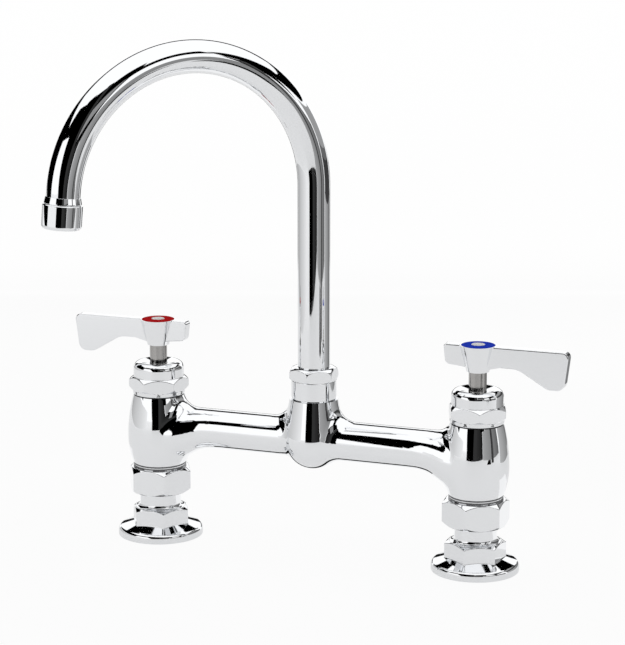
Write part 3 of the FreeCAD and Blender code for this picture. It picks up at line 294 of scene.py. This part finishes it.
def thread_with_painted_shade(name):
    """Turned thread under thin plating, with its tool marks; its dark grey colour is painted shade for the
    shadow in its grooves.
    """
    material, shader = new_finish(name, THREAD_SHADE_COLOUR, metallic=1.0)
    vary_roughness(material, shader, 1.5 * MM, 0.12, 0.3)
    add_relief(material, shader, 0.5 * MM, 0.01 * MM, detail=4.0)
    return material


def moulded_rubber(name):
    """Black nitrile rubber: dull, with the fine grain of its mould."""
    material, shader = new_finish(name, RUBBER_COLOUR)
    vary_roughness(material, shader, 2.0 * MM, 0.45, 0.7)
    add_relief(material, shader, 0.5 * MM, 0.02 * MM, detail=5.0)
    return material


def finish_nodes(material, names):
    """Give nodes that keep their own shape a better finish."""
    for name in names:
        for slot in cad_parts[name].material_slots:
            slot.material = material


# The neck thread's material is painted shade: dark grey for the shadow in its grooves.
painted_shade_thread = thread_with_painted_shade("painted_shade_thread")
black_rubber = moulded_rubber("black_rubber")
for side in SIDES:
    centre = column_centre[side]
    turn = math.radians(COUPLING_TURN[side])
    start, bar, fall = hex_blank(COUPLING_FLATS, NUT_CHAMFER)
    nut = turn_on_lathe(side + "_coupling", centre, [
        (COUPLING_LIP_RADIUS, COUPLING_BOTTOM),
        (start, COUPLING_BOTTOM),
        (bar, COUPLING_BOTTOM + fall),
        (bar, COUPLING_TOP - fall),
        (start, COUPLING_TOP),
        (COUPLING_THREAD_RADIUS, COUPLING_TOP),
        (COUPLING_THREAD_RADIUS, COLLAR_BOTTOM),
        (COUPLING_LIP_RADIUS, COLLAR_BOTTOM),
        (COUPLING_LIP_RADIUS, COUPLING_BOTTOM),
    ], turn)
    mill_hexagon(nut, centre, COUPLING_FLATS, turn)
    break_edges(nut, 0.3 * MM)
    dress(nut, turned_chrome, "faucet_body", "chrome", side + "_coupling_nut")
    neck_thread = turn_on_lathe(side + "_body_thread", centre, [
        (THREAD_ROOT, CREST_BOTTOM),
        (CREST_RADIUS, CREST_BOTTOM, CREST_ROUND, 4),
        (CREST_RADIUS, CREST_BOTTOM + CREST_HEIGHT, CREST_ROUND, 4),
        (CREST_VALLEY, CREST_BOTTOM + CREST_HEIGHT),
        (CREST_VALLEY, CREST_BOTTOM + CREST_PITCH),
        (CREST_RADIUS, CREST_BOTTOM + CREST_PITCH, CREST_ROUND, 4),
        (CREST_RADIUS, CREST_BOTTOM + CREST_PITCH + CREST_HEIGHT, CREST_ROUND, 4),
        (THREAD_ROOT, CREST_BOTTOM + CREST_PITCH + CREST_HEIGHT),
        (THREAD_ROOT, CREST_BOTTOM),
    ])
    break_edges(neck_thread, 0.05 * MM)
    dress(neck_thread, painted_shade_thread, "faucet_body", "chrome")
finish_nodes(black_rubber, [side + "_union_washer" for side in SIDES])

# The bridge is one brass casting: both valve bodies, the pipe between them and the tee under the spout.
# It is ground, buffed and chromed, so its mirror is a little less even than that of the turned pieces.
cast_chrome = chrome_plate("cast_chrome", 22.0 * MM, 0.02 * MM)
finish_nodes(cast_chrome, ["bridge_body"])

# Inside each valve body a brass sleeve holds two ceramic discs, the upper one turned by the stem,
# on a rubber seal. A steel ring keeps the stem in the sleeve.
BRASS_COLOUR = (0.62, 0.43, 0.17, 1.0)
CERAMIC_COLOUR = (0.83, 0.82, 0.78, 1.0)
STEEL_COLOUR = (0.56, 0.56, 0.57, 1.0)
TURNING_MARKS = (1.0, 1.0, 30.0)

turned_brass, brass_shader = new_finish("turned_brass", BRASS_COLOUR, metallic=1.0)
vary_roughness(turned_brass, brass_shader, 6.0 * MM, 0.2, 0.36, TURNING_MARKS)
add_relief(turned_brass, brass_shader, 5.0 * MM, 0.01 * MM, stretch=TURNING_MARKS)
finish_nodes(turned_brass, [side + "_cartridge_body" for side in SIDES])

lapped_ceramic, ceramic_shader = new_finish("lapped_ceramic", CERAMIC_COLOUR)
vary_roughness(lapped_ceramic, ceramic_shader, 1.5 * MM, 0.12, 0.3)
add_relief(lapped_ceramic, ceramic_shader, 0.4 * MM, 0.004 * MM, detail=6.0)
finish_nodes(lapped_ceramic, [side + disc for side in SIDES for disc in ("_lower_disc", "_upper_disc")])

spring_steel, steel_shader = new_finish("spring_steel", STEEL_COLOUR, metallic=1.0)
vary_roughness(spring_steel, steel_shader, 1.2 * MM, 0.16, 0.34)
add_relief(spring_steel, steel_shader, 0.6 * MM, 0.003 * MM, detail=5.0)
finish_nodes(spring_steel, [side + "_stem_clip" for side in SIDES])
finish_nodes(black_rubber, [side + seal for side in SIDES for seal in ("_seat_seal", "_stem_o_rings")])

# The bonnets are hexagon caps with a round, dished drum on top. Each screws into its valve body, on a thin
# black gasket that shows as a dark line, and holds the sleeve down.
BONNET_FLATS = 31.75 * MM
BONNET_TURN = {"hot": 24.3, "cold": 51.7}
BONNET_THREAD_RADIUS = 13.15 * MM
BONNET_BOTTOM = 80.5 * MM
BONNET_COLLAR_RADIUS = 15.86 * MM
BONNET_COLLAR_BOTTOM = 89.2 * MM
COLLAR_BEAD_ROUND = 0.9 * MM
BONNET_HEX_BOTTOM = 91.3 * MM
BONNET_HEX_TOP = 100.1 * MM
DRUM_RADIUS = 15.3 * MM
DRUM_ROUND = 4.05 * MM
DRUM_TOP = 109.3 * MM
DRUM_FLAT_RADIUS = 11.2 * MM
DRUM_DISH_BOTTOM = 108.2 * MM
STEM_BORE = 5.35 * MM
BONNET_CAVITY_RADIUS = 10.0 * MM
BONNET_CAVITY_TOP = 104.3 * MM

for side in SIDES:
    centre = column_centre[side]
    turn = math.radians(BONNET_TURN[side])
    start, bar, fall = hex_blank(BONNET_FLATS, NUT_CHAMFER)
    collar_top = BONNET_HEX_BOTTOM + (BONNET_COLLAR_RADIUS - start) * math.tan(math.radians(NUT_CHAMFER))
    bonnet = turn_on_lathe(side + "_bonnet_cap", centre, [
        (BONNET_CAVITY_RADIUS, BONNET_BOTTOM),
        (BONNET_THREAD_RADIUS, BONNET_BOTTOM),
        (BONNET_THREAD_RADIUS, BONNET_COLLAR_BOTTOM),
        (BONNET_COLLAR_RADIUS, BONNET_COLLAR_BOTTOM, COLLAR_BEAD_ROUND, 6),
        (BONNET_COLLAR_RADIUS, collar_top),
        (bar, BONNET_HEX_BOTTOM + fall),
        (bar, BONNET_HEX_TOP - fall),
        (start, BONNET_HEX_TOP),
        (DRUM_RADIUS, BONNET_HEX_TOP),
        (DRUM_RADIUS, DRUM_TOP, DRUM_ROUND, 16),
        (DRUM_FLAT_RADIUS, DRUM_TOP),
        (STEM_BORE, DRUM_DISH_BOTTOM),
        (STEM_BORE, BONNET_CAVITY_TOP),
        (BONNET_CAVITY_RADIUS, BONNET_CAVITY_TOP),
        (BONNET_CAVITY_RADIUS, BONNET_BOTTOM),
    ], turn)
    mill_hexagon(bonnet, centre, BONNET_FLATS, turn)
    break_edges(bonnet, 0.25 * MM)
    dress(bonnet, turned_chrome, "faucet_body", "chrome", side + "_bonnet")
finish_nodes(black_rubber, [side + "_bonnet_gasket" for side in SIDES])

# Each handle is a forged wrist blade on a tapered hub, chromed, pushed onto the square of its stem and held
# by a steel screw from above. The stem between bonnet and hub is chromed too, in a chrome coloured darker
# than the other pieces.
STEM_COLOUR = (0.42, 0.41, 0.4, 1.0)
forged_chrome = chrome_plate("forged_chrome", 18.0 * MM, 0.012 * MM)
finish_nodes(forged_chrome, [side + "_handle" for side in SIDES])
# The stem's chrome is coloured darker than the other chrome pieces.
darker_stem_chrome, stem_shader = new_finish("darker_stem_chrome", STEM_COLOUR, metallic=1.0)
vary_roughness(darker_stem_chrome, stem_shader, 4.0 * MM, 0.1, 0.2, TURNING_MARKS)
add_relief(darker_stem_chrome, stem_shader, 3.0 * MM, 0.006 * MM, stretch=TURNING_MARKS)
finish_nodes(darker_stem_chrome, [side + "_stem" for side in SIDES])
finish_nodes(spring_steel, [side + "_handle_screw" for side in SIDES])

# The index covers the screw: a glossy ring, red for hot and blue for cold, pressed into the hub,
# round a plain white button with a shallow dimple.
INDEX_FLOOR = 134.0 * MM
INDEX_RADIUS = 9.9 * MM
INDEX_EDGE_TOP = 135.3 * MM
INDEX_INNER_TOP = 135.55 * MM
BUTTON_RADIUS = 3.975 * MM
BUTTON_TOP = 135.8 * MM
BUTTON_CHAMFER = 0.25 * MM
DIMPLE_RADIUS = 1.3 * MM
DIMPLE_FLOOR_RADIUS = 0.3 * MM
INDEX_COLOURS = {"hot": (0.46, 0.012, 0.014, 1.0), "cold": (0.02, 0.05, 0.5, 1.0)}
BUTTON_COLOUR = (0.8, 0.79, 0.78, 1.0)
PLASTIC_SHINE = 0.0


def moulded_plastic(name, colour, smoothest, roughest):
    """Injection-moulded plastic, glossy with slight pulls in its skin."""
    material, shader = new_finish(name, colour)
    shader.inputs["Specular IOR Level"].default_value = PLASTIC_SHINE
    vary_roughness(material, shader, 3.0 * MM, smoothest, roughest)
    add_relief(material, shader, 2.0 * MM, 0.006 * MM, detail=3.0)
    return material


button_white = moulded_plastic("button_white", BUTTON_COLOUR, 0.2, 0.32)
for side in SIDES:
    centre = column_centre[side]
    ring = turn_on_lathe(side + "_index", centre, [
        (BUTTON_RADIUS + 0.05 * MM, INDEX_FLOOR),
        (INDEX_RADIUS, INDEX_FLOOR),
        (INDEX_RADIUS, INDEX_EDGE_TOP),
        (BUTTON_RADIUS + 0.05 * MM, INDEX_INNER_TOP),
        (BUTTON_RADIUS + 0.05 * MM, INDEX_FLOOR),
    ])
    break_edges(ring, 0.2 * MM)
    enamel = moulded_plastic(side + "_index_colour", INDEX_COLOURS[side], 0.16, 0.26)
    dress(ring, enamel, side + "_lever", "hot_red" if side == "hot" else "cold_blue", side + "_index_ring")
    button = turn_on_lathe(side + "_button", centre, [
        (BUTTON_RADIUS, INDEX_FLOOR),
        (BUTTON_RADIUS, BUTTON_TOP - BUTTON_CHAMFER),
        (BUTTON_RADIUS - BUTTON_CHAMFER, BUTTON_TOP),
        (DIMPLE_RADIUS, BUTTON_TOP),
        (DIMPLE_FLOOR_RADIUS, BUTTON_TOP - BUTTON_CHAMFER),
    ], solid=True)
    break_edges(button, 0.08 * MM)
    dress(button, button_white, side + "_lever", "index_white", side + "_index_centre")

# The spout turns in the tee on a brass ferrule with two rubber rings. A plastic washer and the spout nut,
# a hexagon with a domed top and a round skirt, hold it down.
NUT_FLATS = 25.9 * MM
NUT_TURN = math.radians(34.1)
NUT_BOTTOM = 95.2 * MM
NUT_SKIRT_RADIUS = 13.4 * MM
NUT_SKIRT_TOP = 106.1 * MM
NUT_THREAD_RADIUS = 12.35 * MM
NUT_CORE_RADIUS = 12.9 * MM
NUT_CORE_BOTTOM = 101.0 * MM
NUT_FOOT_SLOPE = 2.24 / 2.6
NUT_TOP = 114.1 * MM
NUT_DOME_ROUND = 4.4 * MM
NUT_CHAMBER_RADIUS = 11.93 * MM
NUT_CHAMBER_TOP = 109.15 * MM
NUT_OPENING = 9.605 * MM
PLASTIC_COLOUR = (0.42, 0.43, 0.44, 1.0)

bar = NUT_FLATS / math.sqrt(3.0)
hexagon = turn_on_lathe("spout_nut_hexagon", Vector(), [
    (NUT_THREAD_RADIUS + 0.1 * MM, NUT_CORE_BOTTOM),
    (NUT_CORE_RADIUS, NUT_CORE_BOTTOM),
    (NUT_CORE_RADIUS, NUT_SKIRT_TOP - 0.3 * MM),
    (bar + 0.1 * MM, NUT_SKIRT_TOP + (bar + 0.1 * MM - NUT_SKIRT_RADIUS) * NUT_FOOT_SLOPE),
    (bar + 0.1 * MM, NUT_TOP, NUT_DOME_ROUND, 14),
    (NUT_OPENING, NUT_TOP),
    (NUT_OPENING, NUT_CHAMBER_TOP),
    (NUT_CHAMBER_RADIUS, NUT_CHAMBER_TOP),
    (NUT_CHAMBER_RADIUS, NUT_SKIRT_TOP),
    (NUT_THREAD_RADIUS + 0.1 * MM, NUT_SKIRT_TOP),
    (NUT_THREAD_RADIUS + 0.1 * MM, NUT_CORE_BOTTOM),
], NUT_TURN)
mill_hexagon(hexagon, Vector(), NUT_FLATS, NUT_TURN)
spout_nut = turn_on_lathe("spout_nut_skirt", Vector(), [
    (NUT_THREAD_RADIUS, NUT_BOTTOM),
    (NUT_SKIRT_RADIUS, NUT_BOTTOM),
    (NUT_SKIRT_RADIUS, NUT_SKIRT_TOP),
    (NUT_THREAD_RADIUS, NUT_SKIRT_TOP),
    (NUT_THREAD_RADIUS, NUT_BOTTOM),
], NUT_TURN)
fuse(spout_nut, hexagon)
break_edges(spout_nut, 0.25 * MM)
dress(spout_nut, turned_chrome, "faucet_body", "chrome", "spout_nut")
finish_nodes(turned_brass, ["swivel_ferrule"])
finish_nodes(black_rubber, ["spout_o_rings", "aerator_washer"])
outlet_grey = moulded_plastic("outlet_grey", PLASTIC_COLOUR, 0.3, 0.45)
finish_nodes(outlet_grey, ["swivel_washer", "aerator_insert"])

# The gooseneck is one brass tube, drawn, bent round a former and chromed: a straight riser, an arch of just
# under half a turn, and a short straight tail.
TUBE_RADIUS = 9.525 * MM
TUBE_WALL = 1.5 * MM
TUBE_FOOT = 84.8 * MM
RISER_TOP = 222.6 * MM
ARCH_RADIUS = 79.0 * MM
ARCH_ANGLE = math.radians(175.0)
ARCH_STEPS = 140
TAIL_LENGTH = 11.3 * MM
SPOUT_HEADING = math.radians(229.7)

heading = Vector((math.cos(SPOUT_HEADING), math.sin(SPOUT_HEADING), 0.0))
arch_centre = heading * ARCH_RADIUS + Vector((0.0, 0.0, RISER_TOP))
arch_axis = heading.cross(Vector((0.0, 0.0, 1.0)))
outlet_down = heading * math.sin(ARCH_ANGLE) + Vector((0.0, 0.0, math.cos(ARCH_ANGLE)))
outlet_top = (heading * ARCH_RADIUS * (1.0 - math.cos(ARCH_ANGLE))
              + Vector((0.0, 0.0, RISER_TOP + ARCH_RADIUS * math.sin(ARCH_ANGLE))))
start_piece()
bpy.ops.mesh.primitive_circle_add(vertices=LATHE_SIDES, radius=TUBE_RADIUS, location=(0.0, 0.0, TUBE_FOOT))
gooseneck = bpy.context.object
gooseneck.name = "gooseneck"
bpy.ops.object.transform_apply(location=True, rotation=True, scale=True)
bpy.ops.object.mode_set(mode="EDIT")
bpy.ops.mesh.select_all(action="SELECT")
bpy.ops.mesh.extrude_region_move()
bpy.ops.transform.translate(value=(0.0, 0.0, RISER_TOP - TUBE_FOOT))
bpy.ops.mesh.spin(steps=ARCH_STEPS, angle=ARCH_ANGLE, center=arch_centre, axis=arch_axis)
bpy.ops.mesh.extrude_region_move()
bpy.ops.transform.translate(value=outlet_down * TAIL_LENGTH)
bpy.ops.mesh.select_all(action="SELECT")
bpy.ops.mesh.remove_doubles(threshold=0.001 * MM)
bpy.ops.mesh.normals_make_consistent(inside=False)
bpy.ops.object.mode_set(mode="OBJECT")
bpy.ops.object.shade_smooth()
wall = gooseneck.modifiers.new("wall", "SOLIDIFY")
wall.thickness = TUBE_WALL
wall.offset = -1.0
apply_modifiers(gooseneck)
bpy.ops.object.shade_smooth_by_angle(angle=math.radians(30.0))
tube_chrome = chrome_plate("tube_chrome", 40.0 * MM, 0.01 * MM)
dress(gooseneck, tube_chrome, "spout", "chrome", "spout_tube")

# The outlet is two chromed turnings on the end of the tube: a small flared ferrule, brazed on, and the
# housing that screws onto it and holds the plastic flow former and the steel screen.
FERRULE_START = 1.8 * MM
FERRULE_BORE = 9.545 * MM
FERRULE_TOP_RADIUS = 9.85 * MM
FERRULE_FLARE_RADIUS = 10.5 * MM
FERRULE_FLARE_START = 5.0 * MM
FERRULE_FLARE_END = 5.6 * MM
OUTLET_THREAD_RADIUS = 10.15 * MM
OUTLET_THREAD_END = 11.9 * MM
HOUSING_START = 5.9 * MM
HOUSING_END = 19.8 * MM
HOUSING_RADIUS = 11.25 * MM
HOUSING_CHAMFER = 0.5 * MM
HOUSING_ROUND = 2.2 * MM
HOUSING_THREAD_RADIUS = 10.2 * MM
HOUSING_MOUTH = 8.3 * MM
HOUSING_FLOOR = 17.9 * MM

outlet_turn = Matrix.Rotation(SPOUT_HEADING, 4, "Z") @ Matrix.Rotation(ARCH_ANGLE, 4, "Y")
outlet_place = Matrix.Translation(outlet_top) @ outlet_turn


def hang_on_outlet(piece):
    """Move a piece that was turned upright at the origin to the end of the tube."""
    piece.matrix_world = outlet_place
    start_piece()
    piece.select_set(True)
    bpy.context.view_layer.objects.active = piece
    bpy.ops.object.transform_apply(location=True, rotation=True, scale=True)


ferrule = turn_on_lathe("outlet_flare", Vector(), [
    (FERRULE_BORE, FERRULE_START),
    (FERRULE_TOP_RADIUS, FERRULE_START),
    (FERRULE_FLARE_RADIUS, FERRULE_FLARE_START),
    (FERRULE_FLARE_RADIUS, FERRULE_FLARE_END),
    (OUTLET_THREAD_RADIUS, FERRULE_FLARE_END),
    (OUTLET_THREAD_RADIUS, OUTLET_THREAD_END),
    (FERRULE_BORE, OUTLET_THREAD_END),
    (FERRULE_BORE, FERRULE_START),
])
break_edges(ferrule, 0.1 * MM)
hang_on_outlet(ferrule)
dress(ferrule, turned_chrome, "spout", "chrome", "outlet_ferrule")
housing = turn_on_lathe("aerator_shell", Vector(), [
    (HOUSING_THREAD_RADIUS, HOUSING_START),
    (HOUSING_RADIUS - HOUSING_CHAMFER, HOUSING_START),
    (HOUSING_RADIUS, HOUSING_START + HOUSING_CHAMFER),
    (HOUSING_RADIUS, HOUSING_END, HOUSING_ROUND, 10),
    (HOUSING_MOUTH, HOUSING_END),
    (HOUSING_MOUTH, HOUSING_FLOOR),
    (HOUSING_THREAD_RADIUS, HOUSING_FLOOR),
    (HOUSING_THREAD_RADIUS, HOUSING_START),
])
break_edges(housing, 0.15 * MM)
hang_on_outlet(housing)
dress(housing, turned_chrome, "spout", "chrome", "aerator_housing")
finish_nodes(spring_steel, ["aerator_screen"])

# The studio: a pale floor in a white room, with black cards, windows and grey walls round it for the chrome
# to mirror. Each card stands on an arc round the faucet, measured from the line to the camera.
CAMERA_PLACE = Vector((0.471367, -1.230255, 0.420616))
CAMERA_RIGHT = Vector((0.93358, 0.35837, 0.0))
CAMERA_UP = Vector((-0.07448, 0.19402, 0.97817))
CAMERA_BACK = Vector((0.35054, -0.91320, 0.20782))
CAMERA_LENS = 126.91
ROOM_LIGHT = 1.15
FLOOR_SIZE = 16.0
FLOOR_COLOUR = (0.82, 0.82, 0.82, 1.0)
FLOOR_WHITE_SEEN = 0.94
FLOOR_WHITE_MIRRORED = 0.6

camera_data = bpy.data.cameras.new("camera")
camera_data.sensor_width = 36.0
camera_data.sensor_height = 36.0
camera_data.sensor_fit = "AUTO"
camera_data.lens = CAMERA_LENS
camera = bpy.data.objects.new("camera", camera_data)
bpy.context.scene.collection.objects.link(camera)
camera_turn = Matrix((CAMERA_RIGHT, CAMERA_UP, CAMERA_BACK)).transposed().to_4x4()
camera.matrix_world = Matrix.Translation(CAMERA_PLACE) @ camera_turn
bpy.context.scene.camera = camera

world = bpy.data.worlds.new("white_room")
bpy.context.scene.world = world
world.use_nodes = True
room = world.node_tree.nodes["Background"]
room.inputs["Color"].default_value = (1.0, 1.0, 1.0, 1.0)
room.inputs["Strength"].default_value = ROOM_LIGHT

start_piece()
bpy.ops.mesh.primitive_plane_add(size=FLOOR_SIZE)
floor = bpy.context.object
floor.name = "floor"
floor_white, floor_shader = new_finish("floor_white", FLOOR_COLOUR)
floor_shader.inputs["Roughness"].default_value = 0.6
floor_shader.inputs["Specular IOR Level"].default_value = 0.2
links = floor_white.node_tree.links
ray = put_node(floor_white, "LightPath")
mirrored = put_node(floor_white, "Math")
mirrored.operation = "MAXIMUM"
mirrored_share = put_node(floor_white, "Math")
mirrored_share.operation = "MULTIPLY"
mirrored_share.inputs[1].default_value = FLOOR_WHITE_MIRRORED
share = put_node(floor_white, "Math")
share.operation = "MULTIPLY_ADD"
share.inputs[1].default_value = FLOOR_WHITE_SEEN
plain_white = put_node(floor_white, "Emission", Color=(1.0, 1.0, 1.0, 1.0), Strength=1.0)
mix = put_node(floor_white, "MixShader")
surface = floor_white.node_tree.nodes["Material Output"].inputs["Surface"]
links.new(ray.outputs["Is Glossy Ray"], mirrored.inputs[0])
links.new(ray.outputs["Is Transmission Ray"], mirrored.inputs[1])
links.new(mirrored.outputs[0], mirrored_share.inputs[0])
links.new(ray.outputs["Is Camera Ray"], share.inputs[0])
links.new(mirrored_share.outputs[0], share.inputs[2])
links.new(share.outputs[0], mix.inputs["Fac"])
links.new(floor_shader.outputs["BSDF"], mix.inputs[1])
links.new(plain_white.outputs["Emission"], mix.inputs[2])
links.new(mix.outputs["Shader"], surface)
floor.data.materials.append(floor_white)

FACING_CAMERA = math.atan2(CAMERA_BACK.y, CAMERA_BACK.x)
CARDS = [
    # name, facing, from and to in degrees from the camera's line, distance, bottom, top, glow at either end
    ("front_black", -25.0, -32.0, -22.0, 0.70, 0.0, 1.0, 0.0, 0.0),
    ("front_slope", -25.0, -38.9, -23.6, 0.70, 0.013, 0.655, 0.0, 0.0),
    ("front_edge", -25.0, -50.0, -32.0, 0.70, 0.60, 1.06, 0.0, 0.0),
    ("front_dark", -25.0, -22.0, -8.0, 0.70, 0.0, 1.0, 0.0, 0.0),
    ("front_dim", -25.0, -8.0, 3.0, 0.70, 0.0, 1.05, 0.035, 0.035),
    ("sill", -25.0, 3.0, 22.0, 0.70, 0.0, 0.36, 0.03, 0.01),
    ("window", 17.0, 5.0, 28.0, 0.90, 0.42, 0.66, 0.3, 0.3),
    ("window_frame", 17.0, 3.0, 31.0, 0.92, 0.30, 1.15, 0.0, 0.0),
    ("side_window_top", 43.0, 30.0, 56.0, 0.90, 0.62, 0.90, 0.0, 0.0),
    ("side_wall", 50.0, 23.0, 80.0, 0.85, 0.0, 0.30, 0.4, 0.12),
    ("post", 56.0, 53.0, 60.0, 0.60, 0.0, 0.42, 0.0, 0.1),
    ("left_band", -50.0, -80.0, -22.0, 1.20, 0.84, 1.50, 0.0, 0.0),
    ("left_black", -102.0, -150.0, -76.0, 0.60, 0.18, 0.60, 0.0, 0.0),
    ("left_wall", -95.0, -145.0, -50.0, 0.62, 0.0, 0.16, 0.35, 0.95),
    ("right_band", 78.0, 55.0, 100.0, 0.60, 0.44, 0.66, 0.0, 0.0),
    ("right_low_band", 66.0, 58.0, 75.0, 0.60, 0.34, 0.44, 0.0, 0.0),
    ("right_far_band", 125.0, 100.0, 150.0, 0.60, 0.44, 0.62, 0.0, 0.0),
    ("right_wall", 112.0, 84.0, 140.0, 0.42, 0.252, 0.37, 0.35, 0.35),
    ("right_shelf", 112.0, 84.0, 140.0, 0.42, 0.148, 0.222, 0.05, 0.05),
    ("right_ledge", 112.0, 84.0, 140.0, 0.42, 0.222, 0.252, 0.15, 0.15),
    ("right_foot", 112.0, 82.0, 145.0, 0.42, 0.0, 0.148, 0.5, 0.1),
    ("back_band", 190.0, 150.0, 230.0, 1.0, 0.60, 1.0, 0.0, 0.0),
    ("back_low", 180.0, 155.0, 205.0, 0.80, 0.02, 0.16, 0.01, 0.01),
]
CARD_LEAN = {"front_slope": -20.8}
MATS = [
    # name, facing, nearest and farthest from the faucet, half width, height off the floor, glow
    ("dark_mat", 45.0, 0.54, 0.84, 0.06, 0.001, 0.0),
    ("black_strip", 159.0, -0.0034, 0.0014, 0.068, 0.047, 0.0),
    ("white_sheet", 159.0, 0.038, 0.14, 0.25, 0.0006, 1.0),
]


def colour_card(card, name, first_glow, last_glow):
    """Give a card a glow that changes from one end to the other, and hide it from the camera."""
    card.name = name
    card_colour, card_shader = new_finish(name + "_colour", (0.0, 0.0, 0.0, 1.0))
    card_shader.inputs["Specular IOR Level"].default_value = 0.0
    card_shader.inputs["Emission Color"].default_value = (1.0, 1.0, 1.0, 1.0)
    links = card_colour.node_tree.links
    place = put_node(card_colour, "TexCoord")
    along = put_node(card_colour, "SeparateXYZ")
    glow = put_node(card_colour, "MapRange", From_Min=-0.5, From_Max=0.5, To_Min=first_glow, To_Max=last_glow)
    links.new(place.outputs["Object"], along.inputs["Vector"])
    links.new(along.outputs["X"], glow.inputs["Value"])
    links.new(glow.outputs["Result"], card_shader.inputs["Emission Strength"])
    card.data.materials.append(card_colour)
    card.visible_camera = False


for name, facing, near_edge, far_edge, half_width, height, glow in MATS:
    angle = FACING_CAMERA + math.radians(facing)
    middle = (near_edge + far_edge) / 2
    start_piece()
    bpy.ops.mesh.primitive_plane_add(size=1.0, location=(
        middle * math.cos(angle), middle * math.sin(angle), height), rotation=(0.0, 0.0, angle))
    mat = bpy.context.object
    mat.scale = (far_edge - near_edge, 2.0 * half_width, 1.0)
    mat.visible_diffuse = False
    mat.visible_shadow = False
    colour_card(mat, name, glow, glow)

for name, facing, left, right, distance, bottom, top, left_glow, right_glow in CARDS:
    angle = FACING_CAMERA + math.radians(facing)
    near_end = distance * math.tan(math.radians(left - facing))
    far_end = distance * math.tan(math.radians(right - facing))
    middle = (near_end + far_end) / 2
    start_piece()
    bpy.ops.mesh.primitive_plane_add(size=1.0, location=(
        distance * math.cos(angle) - middle * math.sin(angle),
        distance * math.sin(angle) + middle * math.cos(angle),
        (bottom + top) / 2), rotation=(
            math.radians(90.0), math.radians(CARD_LEAN.get(name, 0.0)), angle + math.radians(90.0)))
    card = bpy.context.object
    card.scale = (far_end - near_end, top - bottom, 1.0)
    colour_card(card, name, left_glow, right_glow)

bpy.context.scene.view_settings.view_transform = "Standard"
